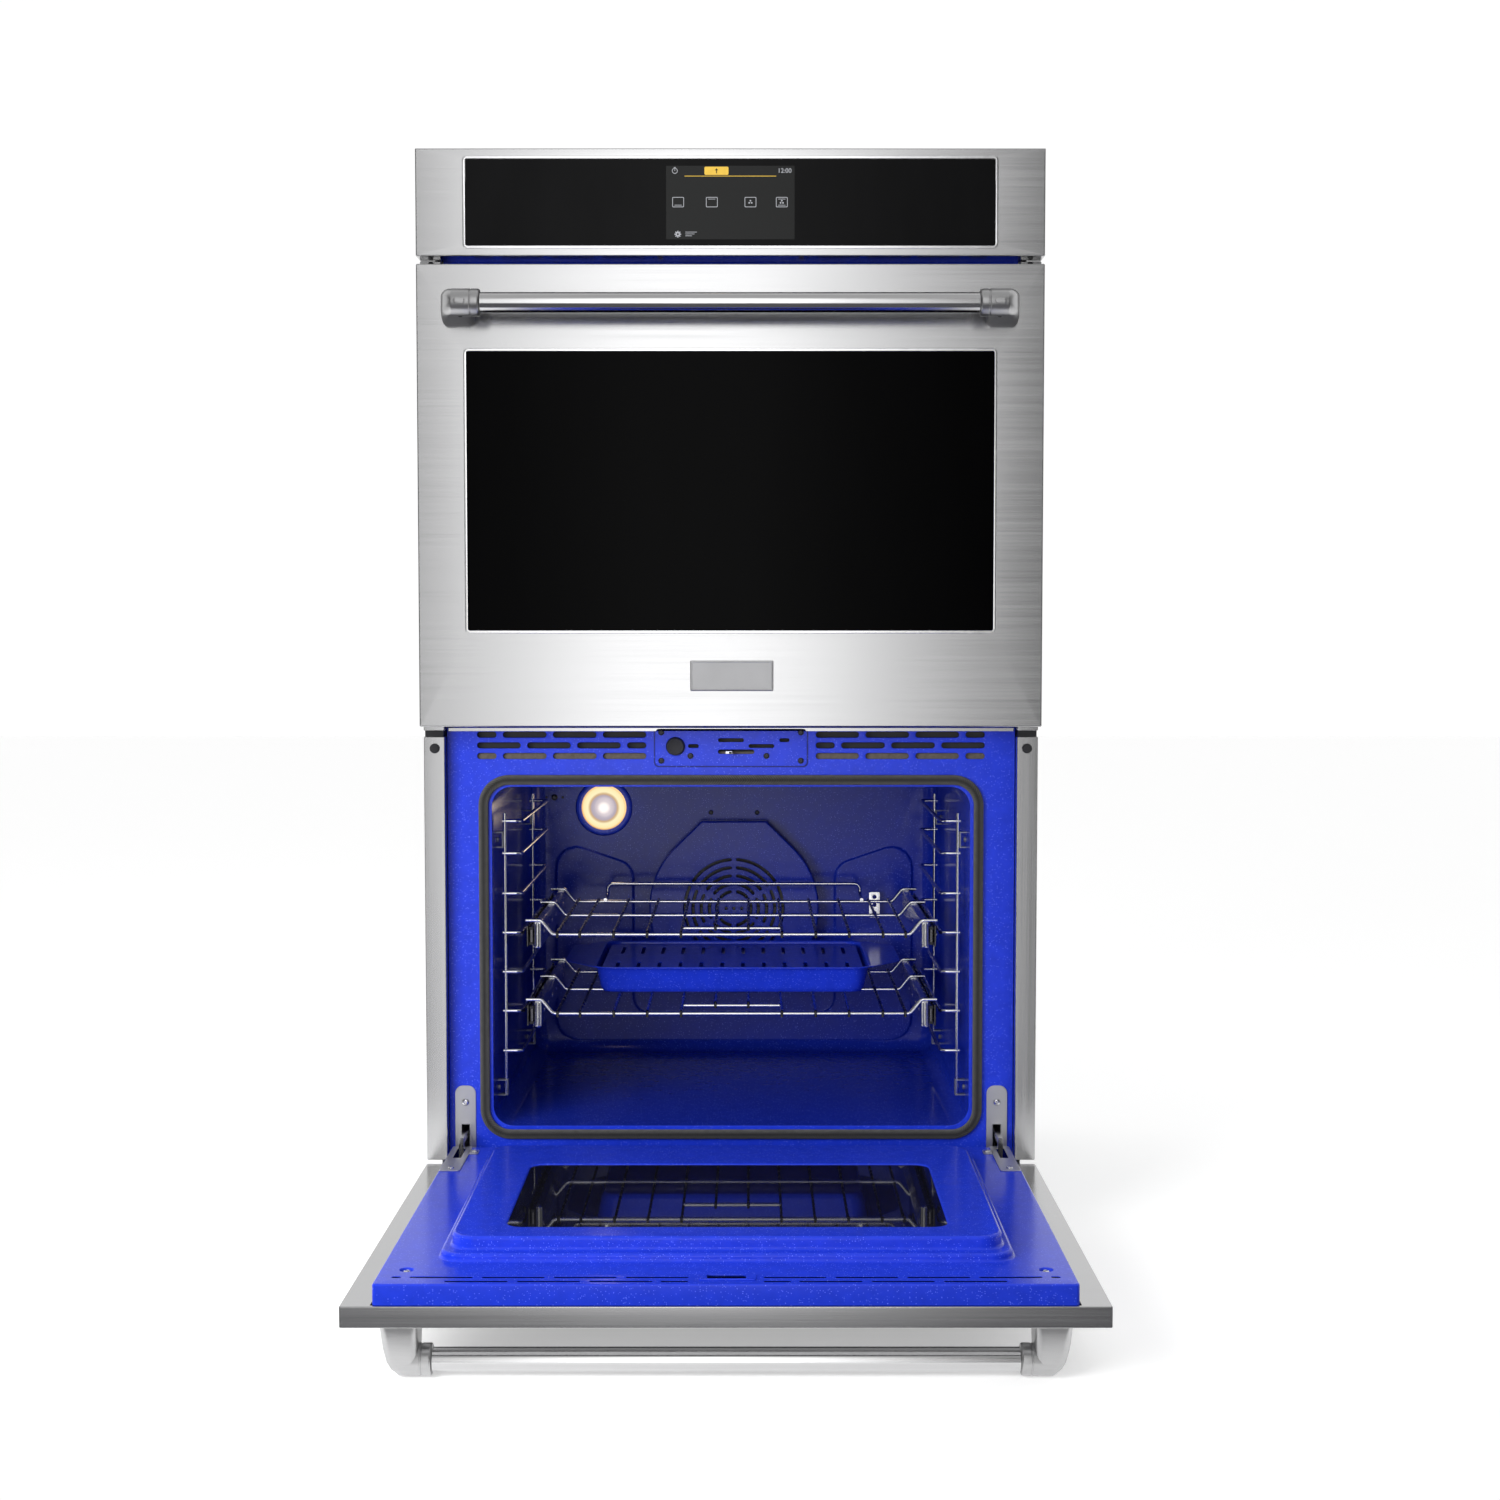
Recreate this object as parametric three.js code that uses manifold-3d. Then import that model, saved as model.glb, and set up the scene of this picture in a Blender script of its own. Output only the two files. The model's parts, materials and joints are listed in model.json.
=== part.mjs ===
// A built-in double wall oven: two cavities, two drop-down doors, a control panel on top.
// Millimetres, +X to the right, +Y to the back, +Z up, origin under the middle of the base pan.
// The upper door is closed and the lower door hangs open, as the oven stands at rest.

import * as THREE from 'three';
import { mergeVertices } from 'three/addons/utils/BufferGeometryUtils.js';
import Module from 'manifold-3d';

const wasm = await Module();
wasm.setup();

// ---- driving dimensions ------------------------------------------------------------------
const GAP = 0.3;                  // clearance where two pieces touch
const FACE = -330;                // Y of the doors' and the panel's outer face
const HALF_WIDTH = 378;           // doors and control panel
const HEIGHT = 1290;
const DEPTH = 625;                // outer face to rear cover
const DECK = 565.8;               // from the lower oven to the same point of the upper one

const CASE_HALF = 362;            // casing that goes into the cabinet
const CASE_TOP = 1262;
const CASE_FRONT = 52;            // depths are counted back from the outer face
const CASE_REAR = 612;
const SHEET = 1.2;

const FRAME_FRONT = 50;           // enamelled front frame
const FRAME_BACK = 51.5;
const FRAME_HALF = 352;
const FRAME_BOTTOM = 28.5;
const FRAME_TOPS = { lower: 594, upper: 1176 };

const CAVITY_HALF = 297;
const CAVITY_FLOOR = 95;
const CAVITY_CEILING = 520;
const CAVITY_REAR = 540;
const CAVITY_WALL = 2;
const CAVITY_RADIUS = 25;

const DOOR_BOTTOM = 30.6;         // door heights are those of the lower door when closed
const DOOR_TOP = 587.4;
const SKIN_DEPTH = 21.9;
const FLANGE_HALF = 348;           // the skin's rear flange runs in from the door's sides to here
const LINER_BACK = 43.3;
const HINGE_DEPTH = 14.4;
const HINGE_HEIGHT = 45;
const WINDOW = { half: 318, bottom: 147.6, top: 483.2 };
const ARM_X = [329, 335];

const BAR_RADIUS = 12.25;
const BAR_DEPTH = -49;
const BAR_HEIGHT = 533.2;
const FERRULE_RADIUS = 16.3;
const FERRULE_INNER = 295;

const PANEL_BOTTOM = 1162.2;
const TRIM_TOP = 1161.5;
const PANEL_GLASS = { half: 318, bottom: 1174.6, top: 1277.6 };

const FAN_HEIGHT = 309;
const BAFFLE_RADIUS = 124.5;
const BAFFLE_FRONT = 510;
const LAMP = { x: -192, height: 455, radius: 32 };

const WIRE = 5;
const GUIDE_X = 287;
const GUIDE_REACH = 266;
const GUIDE_DEPTHS = [100, 436];
const RUNGS = [180, 231, 281, 331, 381, 432, 473];
const RACKS = { top: 329.5, bottom: 228.3 };
const RACK_HALF = 221;
const RACK_BARS = [100, 285, 435];
const RACK_SHORT_BAR = 165;
const RACK_BACKSTOP = 482;
const RACK_WIRES = [21.4, 64, 107, 149.5, 192.4, 221];

const PAN = { half: 183, foot: 173, front: 230, back: 472, bottom: 232.7, top: 267.2 };

// ---- materials ---------------------------------------------------------------------------
const finish = (color, roughness, metalness) =>
  new THREE.MeshStandardMaterial({ color, roughness, metalness });
const FINISHES = {
  stainless: () => finish(0xc9c9c8, 0.3, 1),
  polished: () => finish(0xd9d8d4, 0.15, 1),
  galvanised: () => finish(0x9a9c9e, 0.5, 1),
  enamel: () => finish(0x2a36c8, 0.25, 0),
  glass: () => finish(0x0b0c0e, 0.05, 0),
  wire: () => finish(0xd4d4d8, 0.25, 1),
  braid: () => finish(0x3c3c36, 0.9, 0),
  plastic: () => finish(0x17181a, 0.5, 0),
  board: () => finish(0x1f5a35, 0.6, 0),
  lens: () => finish(0xffe9c4, 0.2, 0),
  element: () => finish(0x44454a, 0.5, 1),
};

// ---- solids ------------------------------------------------------------------------------
/** A closed geometry as a solid that can be joined and cut. */
function solid(geometry) {
  const bare = geometry.clone();
  bare.deleteAttribute('normal');
  bare.deleteAttribute('uv');
  const merged = mergeVertices(bare, 1e-4);
  return new wasm.Manifold(new wasm.Mesh({
    numProp: 3,
    vertProperties: new Float32Array(merged.attributes.position.array),
    triVerts: new Uint32Array(merged.index.array),
  }));
}

/** A solid back as a geometry that a mesh can show. */
function geometryOf(body) {
  const { vertProperties, triVerts } = body.getMesh();
  const geometry = new THREE.BufferGeometry();
  geometry.setAttribute('position', new THREE.BufferAttribute(vertProperties, 3));
  geometry.setIndex(new THREE.BufferAttribute(triVerts, 1));
  const flat = geometry.toNonIndexed();
  flat.computeVertexNormals();
  return flat;
}

const join = (solids) => solids.reduce((whole, next) => whole.add(next));
const cut = (body, tools) => tools.reduce((rest, tool) => rest.subtract(tool), body);

/** A block between two X values, two depths behind the outer face and two heights. */
function block(x0, x1, depth0, depth1, z0, z1) {
  const geometry = new THREE.BoxGeometry(x1 - x0, depth1 - depth0, z1 - z0);
  return solid(geometry.translate((x0 + x1) / 2, FACE + (depth0 + depth1) / 2, (z0 + z1) / 2));
}

/** An outline drawn in X and Z, filled between two depths. */
function panel(shape, depth0, depth1, curveSegments = 4) {
  const geometry = new THREE.ExtrudeGeometry(shape, {
    depth: depth1 - depth0, bevelEnabled: false, curveSegments,
  });
  return solid(geometry.rotateX(Math.PI / 2).translate(0, FACE + depth1, 0));
}

/** An outline drawn in depth and Z, filled between two X values. */
function profile(shape, x0, x1, curveSegments = 4) {
  const geometry = new THREE.ExtrudeGeometry(shape, {
    depth: x1 - x0, bevelEnabled: false, curveSegments,
  });
  const turn = new THREE.Matrix4().set(0, 0, 1, x0, 1, 0, 0, FACE, 0, 1, 0, 0, 0, 0, 0, 1);
  return solid(geometry.applyMatrix4(turn));
}

/** An outline drawn in X and depth, filled between two heights. */
function slab(shape, z0, z1, curveSegments = 4) {
  const geometry = new THREE.ExtrudeGeometry(shape, {
    depth: z1 - z0, bevelEnabled: false, curveSegments,
  });
  return solid(geometry.translate(0, FACE, z0));
}

/** A round bar along X, Y or Z; its centre is given as X, depth and height. */
function bar(axis, radius, [x, depth, z], length, sides = 16) {
  const geometry = new THREE.CylinderGeometry(radius, radius, length, sides);
  if (axis === 'x') geometry.rotateZ(Math.PI / 2);
  if (axis === 'z') geometry.rotateX(Math.PI / 2);
  return solid(geometry.translate(x, FACE + depth, z));
}

function outline(points) {
  return new THREE.Shape(points.map(([u, v]) => new THREE.Vector2(u, v)));
}

function roundedRect(x0, x1, z0, z1, radius) {
  const shape = new THREE.Shape();
  const quarter = Math.PI / 2;
  shape.absarc(x1 - radius, z0 + radius, radius, -quarter, 0);
  shape.absarc(x1 - radius, z1 - radius, radius, 0, quarter);
  shape.absarc(x0 + radius, z1 - radius, radius, quarter, 2 * quarter);
  shape.absarc(x0 + radius, z0 + radius, radius, 2 * quarter, 3 * quarter);
  return shape;
}

// ---- the assembly ------------------------------------------------------------------------
const oven = new THREE.Group();

function add(group, name, body, material) {
  const mesh = new THREE.Mesh(geometryOf(body), FINISHES[material]());
  mesh.name = name;
  group.add(mesh);
  return mesh;
}

// ---- casing ------------------------------------------------------------------------------
function casing() {
  const inside = CASE_HALF - SHEET;
  const arch = outline([
    [-CASE_HALF, 2], [-inside, 2], [-inside, CASE_TOP - SHEET], [inside, CASE_TOP - SHEET],
    [inside, 2], [CASE_HALF, 2], [CASE_HALF, CASE_TOP], [-CASE_HALF, CASE_TOP],
  ]);
  add(oven, 'chassis_wrap', panel(arch, CASE_FRONT, CASE_REAR), 'galvanised');

  const tray = inside - 0.4;
  const floor = cut(block(-tray, tray, 54, CASE_REAR - 0.4, 0, 14), [
    block(SHEET - tray, tray - SHEET, 54 + SHEET, CASE_REAR - 0.4 - SHEET, 1.5, 15),
  ]);
  add(oven, 'base_pan', floor, 'galvanised');

  const vents = [];
  for (let row = 0; row < 3; row += 1) {
    for (const side of [-1, 1]) {
      const x = side * 170;
      vents.push(block(x - 110, x + 110, 620, DEPTH + 1, 1180 + 22 * row, 1188 + 22 * row));
    }
  }
  const cover = cut(block(-361.5, 361.5, CASE_REAR + GAP, DEPTH, 2, CASE_TOP - 1), [
    block(-360, 360, CASE_REAR - 1, DEPTH - SHEET, 3.5, CASE_TOP - 2.5), ...vents,
  ]);
  add(oven, 'rear_cover', cover, 'galvanised');

  const box = join([
    block(220, 310, 500, 590, CASE_TOP + GAP, CASE_TOP + 26),
    bar('y', 10, [265, 596, CASE_TOP + 13], 20),
  ]);
  add(oven, 'conduit_box', cut(box, [bar('y', 7, [265, 590, CASE_TOP + 13], 60)]), 'galvanised');
}

// ---- side and bottom trims ---------------------------------------------------------------
function trims() {
  for (const [name, side] of [['side_trim_left', -1], ['side_trim_right', 1]]) {
    const inner = side * (FRAME_HALF + GAP);
    const outer = side * HALF_WIDTH;
    const [x0, x1] = [Math.min(inner, outer), Math.max(inner, outer)];
    const [n0, n1] = [inner - side, side * (CASE_HALF + GAP)].sort((a, b) => a - b);
    const tube = cut(block(x0, x1, 32, CASE_FRONT - GAP, 56, TRIM_TOP), [
      block(x0 + 1.5, x1 - 1.5, 33.5, CASE_FRONT - GAP - 1.5, 50, TRIM_TOP + 1),
      block(n0, n1, CASE_FRONT - GAP - 2, CASE_FRONT, 50, TRIM_TOP + 1),
    ]);
    add(oven, name, tube, 'stainless');
  }
  const lip = outline([[8, 2], [51.7, 2], [51.7, 3.5], [9.5, 3.5], [9.5, 22], [8, 22]]);
  add(oven, 'bottom_trim', profile(lip, 1 - HALF_WIDTH, HALF_WIDTH - 1), 'stainless');
}

// ---- control panel -----------------------------------------------------------------------
function controlPanel() {
  const rim = 1.5;
  const window = block(-PANEL_GLASS.half - 0.4, PANEL_GLASS.half + 0.4, -1, 2,
    PANEL_GLASS.bottom - 0.4, PANEL_GLASS.top + 0.4);
  const fascia = cut(block(-HALF_WIDTH, HALF_WIDTH, 0, 40, PANEL_BOTTOM, HEIGHT), [
    block(rim - HALF_WIDTH, HALF_WIDTH - rim, rim, 41, PANEL_BOTTOM + rim, HEIGHT - rim), window,
  ]);
  add(oven, 'control_fascia', fascia, 'stainless');
  add(oven, 'control_glass', block(-PANEL_GLASS.half, PANEL_GLASS.half, -0.5, 3.4,
    PANEL_GLASS.bottom, PANEL_GLASS.top), 'glass');

  const display = join([block(-77, 77, 3.7, 12, 1182, 1269), block(-60, 60, 11, 16, 1190, 1260)]);
  add(oven, 'display_module', display, 'plastic');

  const parts = [block(-240, 240, 20, 21.6, 1176, 1276), block(-220, -150, 21, 36, 1190, 1250)];
  for (let relay = 0; relay < 5; relay += 1) {
    const x = -120 + 36 * relay;
    parts.push(block(x, x + 22, 21, 37, 1188, 1216));
  }
  for (let plug = 0; plug < 3; plug += 1) {
    parts.push(block(90 + 44 * plug, 120 + 44 * plug, 21, 32, 1240, 1250));
  }
  add(oven, 'control_board', join(parts), 'board');
}

// ---- cooling blower above the upper oven -------------------------------------------------
function coolingBlower() {
  const [x, depth] = [0, 330];
  const scroll = (grow, z0, z1, mouth) => join([
    bar('z', 92 + grow, [x, depth, (z0 + z1) / 2], z1 - z0, 24),
    block(x + 10 - grow, x + 92 + grow, depth - mouth, depth, z0, z1),
  ]);
  const shaft = bar('z', 4, [x, depth, 1180], 60, 12);
  const shell = cut(scroll(0, 1180, 1240, 150), [
    scroll(-2, 1182, 1238, 160), bar('z', 46, [x, depth, 1240], 20, 20),
  ]);
  const motor = bar('z', 30, [x, depth, 1161], 40, 16);
  add(oven, 'blower_housing', join([shell, motor, shaft]), 'galvanised');

  const wheel = [bar('z', 62, [x, depth, 1187], 2, 16), bar('z', 12, [x, depth, 1198], 24, 12)];
  const blades = 12;
  for (let i = 0; i < blades; i += 1) {
    const blade = new THREE.BoxGeometry(18, 1.6, 44);
    blade.translate(51, 0, 1210).rotateZ((2 * Math.PI * i) / blades).translate(x, FACE + depth, 0);
    wheel.push(solid(blade));
  }
  const ring = cut(bar('z', 62, [x, depth, 1231], 2, 16), [bar('z', 44, [x, depth, 1231], 6, 16)]);
  const bore = bar('z', 4 + GAP, [x, depth, 1196], 60, 12);
  add(oven, 'blower_wheel', cut(join([...wheel, ring]), [bore]), 'plastic');
}

// ---- front frame, cavity and gasket of one oven ------------------------------------------
function frontFrame(name, lift, top) {
  const vents = [];
  for (let row = 0; row < 3; row += 1) {
    const z = lift + 558.3 + 13.2 * row;
    for (const x of [-265, -160, 160, 265]) {
      vents.push(block(x - 46, x + 46, 49, 53, z - 3.7, z + 3.7));
    }
  }
  const slots = [-1, 1].map((side) =>
    block(side * 332 - 5.5, side * 332 + 5.5, 49, 53, lift + 60, lift + 97));
  const mouth = roundedRect(-CAVITY_HALF, CAVITY_HALF, lift + CAVITY_FLOOR,
    lift + CAVITY_CEILING, CAVITY_RADIUS);
  const bottom = lift + FRAME_BOTTOM;
  const plate = cut(block(-FRAME_HALF, FRAME_HALF, FRAME_FRONT, FRAME_BACK, bottom, top), [
    panel(mouth, 49, 53), ...vents, ...slots,
    block(-16, 28.5, 49, 53, lift + 559, lift + 568),
    bar('y', 11.6, [-68.8, 51, lift + 570.2], 6),
  ]);
  add(oven, `${name}_front_frame`, plate, 'enamel');
}

function cavity(name, lift) {
  const shell = (grow, depth0, depth1) => panel(roundedRect(
    -CAVITY_HALF - grow, CAVITY_HALF + grow, lift + CAVITY_FLOOR - grow,
    lift + CAVITY_CEILING + grow, CAVITY_RADIUS + grow,
  ), depth0, depth1, 3);
  const tub = cut(shell(CAVITY_WALL, FRAME_BACK + GAP, CAVITY_REAR + CAVITY_WALL), [
    shell(0, FRAME_BACK - 1, CAVITY_REAR),
    bar('y', 8, [0, CAVITY_REAR, lift + FAN_HEIGHT], 20, 12),
    bar('y', LAMP.radius + 1, [LAMP.x, CAVITY_REAR, lift + LAMP.height], 20, 20),
  ]);
  add(oven, `${name}_cavity`, tub, 'enamel');
}

function gasket(name, lift) {
  const ring = roundedRect(-313, 313, lift + 78, lift + 534.7, 38);
  ring.holes.push(roundedRect(-301, 301, lift + 92, lift + 523, 26));
  add(oven, `${name}_gasket`, panel(ring, LINER_BACK + 0.6, FRAME_FRONT - GAP), 'braid');
}

// ---- convection fan of one oven ----------------------------------------------------------
/** A round plate whose sides run on up, tangent to the circle, to a narrow top edge. */
function baffleOutline(lift, inset) {
  const radius = BAFFLE_RADIUS - inset;
  const [halfTop, rise] = [51 - inset, 128 - inset];
  const reach = Math.hypot(halfTop, rise);
  const tangent = Math.atan2(rise, halfTop) - Math.acos(radius / reach);
  const shape = new THREE.Shape();
  shape.absarc(0, lift + FAN_HEIGHT, radius, Math.PI - tangent, 2 * Math.PI + tangent);
  shape.lineTo(halfTop, lift + FAN_HEIGHT + rise);
  shape.lineTo(-halfTop, lift + FAN_HEIGHT + rise);
  return shape;
}

function fanBaffle(name, lift) {
  const windows = [];
  const count = 6;
  for (let i = 0; i < count; i += 1) {
    const start = (2 * Math.PI * i) / count + 0.1;
    const end = (2 * Math.PI * (i + 1)) / count - 0.1;
    const sector = new THREE.Shape();
    sector.absarc(0, lift + FAN_HEIGHT, 72, start, end);
    sector.absarc(0, lift + FAN_HEIGHT, 30, end, start, true);
    windows.push(panel(sector, BAFFLE_FRONT - 1, BAFFLE_FRONT + 3, 3));
  }
  const dish = cut(panel(baffleOutline(lift, 0), BAFFLE_FRONT, CAVITY_REAR - GAP, 12), [
    panel(baffleOutline(lift, 1.5), BAFFLE_FRONT + 1.5, CAVITY_REAR + 1, 12), ...windows,
  ]);
  add(oven, `${name}_fan_baffle`, dish, 'enamel');
}

function fan(name, lift) {
  const z = lift + FAN_HEIGHT;
  const blades = 8;
  const wheel = [bar('y', 14, [0, 525, z], 16, 12), bar('y', 74, [0, 532, z], 1.6, 24)];
  for (let i = 0; i < blades; i += 1) {
    const blade = new THREE.BoxGeometry(62, 14, 1.6).translate(42, FACE + 525, 0);
    wheel.push(solid(blade.rotateY((2 * Math.PI * i) / blades).translate(0, 0, z)));
  }
  const bore = bar('y', 4 + GAP, [0, 525, z], 60, 12);
  add(oven, `${name}_fan_wheel`, cut(join(wheel), [bore]), 'galvanised');

  const motor = join([
    bar('y', 42, [0, 569, z], 46, 20), bar('y', 4, [0, 531, z], 34, 12),
    block(-60, 60, 545, 547, z - 12, z + 12),
  ]);
  add(oven, `${name}_fan_motor`, motor, 'galvanised');
}

function lamp(name, lift) {
  const z = lift + LAMP.height;
  const body = join([
    bar('y', LAMP.radius, [LAMP.x, 535, z], 18, 20),
    bar('y', 40, [LAMP.x, 558, z], 31.4, 20),
  ]);
  add(oven, `${name}_lamp`, body, 'lens');
}

/** Four runs from side to side under the rear of the ceiling, both ends through the back. */
function broilElement(name, lift) {
  const [left, right, z0, z1] = [-195, 225, lift + 498, lift + 504];
  const runs = [380, 408, 436, 464];
  const rear = CAVITY_REAR - 1;
  const leg = (x, near, far) => block(x - 3, x + 3, near - 3, far, z0, z1);
  const parts = [leg(left - 30, runs[0], rear), leg(left, runs[3], rear)];
  runs.forEach((depth, i) => {
    const start = i === 0 ? left - 30 : left;
    parts.push(block(start - 3, right + 3, depth - 3, depth + 3, z0, z1));
    if (i < 3) parts.push(leg(i % 2 === 0 ? right : left, depth, runs[i + 1] + 3));
  });
  for (const x of [-120, 120]) {
    parts.push(block(x - 1.5, x + 1.5, runs[0] - 3, runs[3] + 3, z1 - 1, z1 + 3));
    parts.push(block(x - 1.5, x + 1.5, 420, 424, z1, lift + CAVITY_CEILING - GAP));
  }
  add(oven, `${name}_broil_element`, join(parts), 'element');
}

// ---- latch hook and door switch of one oven ----------------------------------------------
function latch(name, lift) {
  const hook = outline([
    [0, 38], [-7, 38], [-7, 34], [8, 34], [8, 72], [18, 80], [10, 88], [0, 78],
  ]);
  add(oven, `${name}_latch_hook`, slab(hook, lift + 561.7, lift + 564.7), 'wire');
  add(oven, `${name}_door_switch`, bar('y', 11, [-68.8, 53.5, lift + 570.2], 17), 'plastic');
}

// ---- rack guides, with the fixed rails of the glides hooked on them ----------------------
function rackGuide(name, side) {
  const half = WIRE / 2;
  const across = (a, b, ...rest) => block(Math.min(side * a, side * b),
    Math.max(side * a, side * b), ...rest);
  const [front, rear] = GUIDE_DEPTHS;
  const parts = [];
  for (const depth of GUIDE_DEPTHS) {
    parts.push(across(GUIDE_X - half, GUIDE_X + half, depth - half, depth + half, 124, 483));
    for (const z of [150, 456]) {
      parts.push(across(GUIDE_X, CAVITY_HALF - GAP, depth - half, depth + half, z - 4, z + 4));
    }
  }
  const rung = outline([
    [GUIDE_X, front - half], [GUIDE_REACH - half, front - half], [GUIDE_REACH - half, rear + half],
    [GUIDE_X, rear + half], [GUIDE_X, rear - half], [GUIDE_REACH + half, rear - half],
    [GUIDE_REACH + half, front + half], [GUIDE_X, front + half],
  ].map(([x, depth]) => [side * x, depth]));
  for (const z of RUNGS) parts.push(slab(rung, z - half, z + half));
  for (const plane of Object.values(RACKS)) {
    parts.push(across(257, 260, front - 5, rear + 4, plane - 16, plane + 11));
    for (const depth of [front + 30, rear - 60]) {
      parts.push(across(259, GUIDE_REACH - 2, depth, depth + 24, plane - 4, plane + 5));
    }
  }
  add(oven, name, join(parts), 'wire');
}

// ---- pull-out racks ----------------------------------------------------------------------
/** A wire across the rack that steps up at both ends to lie over the glides. */
function steppedBar(plane, depth, half) {
  const lift = 18;
  const shape = outline([
    [-260, plane + lift - half], [-242, plane + lift - half], [-RACK_HALF - 7, plane - half],
    [RACK_HALF + 7, plane - half], [242, plane + lift - half], [260, plane + lift - half],
    [260, plane + lift + half], [240, plane + lift + half], [RACK_HALF + 5, plane + half],
    [-RACK_HALF - 5, plane + half], [-240, plane + lift + half], [-260, plane + lift + half],
  ]);
  return panel(shape, depth - half, depth + half);
}

function rack(name, plane) {
  const half = WIRE / 2;
  const [front, , back] = RACK_BARS;
  const parts = RACK_BARS.map((depth) => steppedBar(plane, depth, half));
  const short = RACK_WIRES[0];
  for (const offset of RACK_WIRES) {
    for (const x of [-offset, offset]) {
      const start = offset === short ? RACK_SHORT_BAR : front;
      parts.push(block(x - 2, x + 2, start, back + half, plane - 2, plane + 2));
    }
  }
  parts.push(block(-64, 64, RACK_SHORT_BAR - half, RACK_SHORT_BAR + half, plane - half,
    plane + half));
  const stop = RACK_BACKSTOP;
  parts.push(block(-185.6, 185.6, stop - half, stop + half, plane + 16.6, plane + 21.6));
  for (const side of [-1, 1]) {
    const x = side * 183.1;
    parts.push(block(x - half, x + half, back, stop + half, plane - half, plane + half));
    parts.push(block(x - half, x + half, stop - half, stop + half, plane, plane + 21));
    const rail = [side * 241, side * 250.6].sort((a, b) => a - b);
    parts.push(block(...rail, front - 4, back + 5, plane - 20, plane + 16));
  }
  add(oven, `${name}_rack`, join(parts), 'wire');
}

function glideMembers(name, plane) {
  const [front, rear] = GUIDE_DEPTHS;
  for (const [hand, side] of [['left', -1], ['right', 1]]) {
    const [x0, x1] = [side * 251.2, side * 256.6].sort((a, b) => a - b);
    const member = cut(block(x0, x1, front - 3, rear, plane - 14, plane + 9), [
      block(x0 + 1.4, x1 - 1.4, front - 5, rear + 5, plane - 12, plane + 7),
    ]);
    add(oven, `${name}_glide_${hand}`, member, 'wire');
  }
}

// ---- broiler pan and its slotted grid ----------------------------------------------------
/** A tray that narrows towards its foot. */
function taperedBlock(halfTop, halfFoot, front, back, inset, z0, z1) {
  const geometry = new THREE.BoxGeometry(2, 2, 1).translate(0, 0, 0.5);
  const position = geometry.attributes.position;
  const middle = FACE + (front + back) / 2;
  const halfDepth = (back - front) / 2;
  for (let i = 0; i < position.count; i += 1) {
    const top = position.getZ(i) > 0.5;
    position.setXYZ(i, position.getX(i) * (top ? halfTop : halfFoot),
      middle + position.getY(i) * (top ? halfDepth : halfDepth - inset), top ? z1 : z0);
  }
  return solid(geometry);
}

function broilerPan() {
  const { half, foot, front, back, bottom, top } = PAN;
  const rimmed = join([
    taperedBlock(half, foot, front, back, 8, bottom, top),
    block(-half - 6, half + 6, front - 6, back + 6, top - 1.4, top),
    block(-229, 229, front + 40, back - 40, top - 1.4, top),
  ]);
  const wall = 1.4;
  const hollow = taperedBlock(half - wall + 0.3, foot - wall, front + wall, back - wall, 8,
    bottom + wall, top + 1);
  add(oven, 'broiler_pan', cut(rimmed, [hollow]), 'enamel');

  const slots = [];
  for (let i = -5; i <= 5; i += 1) {
    slots.push(block(28 * i - 2.5, 28 * i + 2.5, front + 22, back - 22, top - 8, top));
  }
  const grid = block(7 - half, half - 7, front + 7, back - 7, top - 5, top - 3.8);
  add(oven, 'broiler_grid', cut(grid, slots), 'enamel');
}

// ---- doors -------------------------------------------------------------------------------
function doorSkin() {
  const wall = SHEET;
  const lip = 3.4;
  return cut(block(-HALF_WIDTH, HALF_WIDTH, 0, SKIN_DEPTH, DOOR_BOTTOM, DOOR_TOP), [
    block(wall - HALF_WIDTH, HALF_WIDTH - wall, wall, SKIN_DEPTH - wall, DOOR_BOTTOM + wall,
      DOOR_TOP - wall),
    block(-FLANGE_HALF, FLANGE_HALF, SKIN_DEPTH - 3, SKIN_DEPTH + 1, DOOR_BOTTOM + lip,
      DOOR_TOP - lip),
    block(-WINDOW.half - 0.4, WINDOW.half + 0.4, -1, 3, WINDOW.bottom - 0.4, WINDOW.top + 0.4),
  ]);
}

/** The enamelled inner panel: a tray with a plug of two steps that fills the cavity's mouth. */
function doorLiner() {
  const wall = SHEET;
  const [bottom, top, half] = [33, 585.3, 346];
  const front = SKIN_DEPTH + 0.4;
  const step = (grow, hx, z0, z1, depth0, depth1) => panel(
    roundedRect(-hx + grow, hx - grow, z0 + grow, z1 - grow, 24 - grow), depth0, depth1, 2);
  const solids = join([
    block(-half, half, front, LINER_BACK, bottom, top),
    step(0, 292, 103, 512, 40, 51.7), step(0, 282.3, 114, 499, 50, 65.7),
  ]);
  const vents = [];
  for (const z of [562, 574.8]) {
    for (const x of [-170, 170]) vents.push(block(x - 110, x + 110, 40, 45, z - 2.5, z + 2.5));
  }
  const shell = cut(solids, [
    block(wall - half, half - wall, front - 1, LINER_BACK - wall, bottom + wall, top - wall),
    step(wall, 292, 103, 512, 40, 51.7 - wall), step(wall, 282.3, 114, 499, 48, 65.7 - wall),
    block(-229, 229, 60, 70, 204, 462),
    block(-25, 40, 40, 45, 556, 570), ...vents,
  ]);
  const cheeks = [];
  const holes = [];
  for (const side of [-1, 1]) {
    for (const x of [side * 322, side * 342]) {
      cheeks.push(block(x - 1, x + 1, 6, LINER_BACK - 0.6, 37, 98));
      holes.push(bar('x', 4 + GAP, [x, HINGE_DEPTH, HINGE_HEIGHT], 6, 12));
    }
    holes.push(block(side * 332 - 6, side * 332 + 6, 40, 45, 42, 93));
  }
  return cut(join([shell, ...cheeks]), holes);
}

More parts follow.
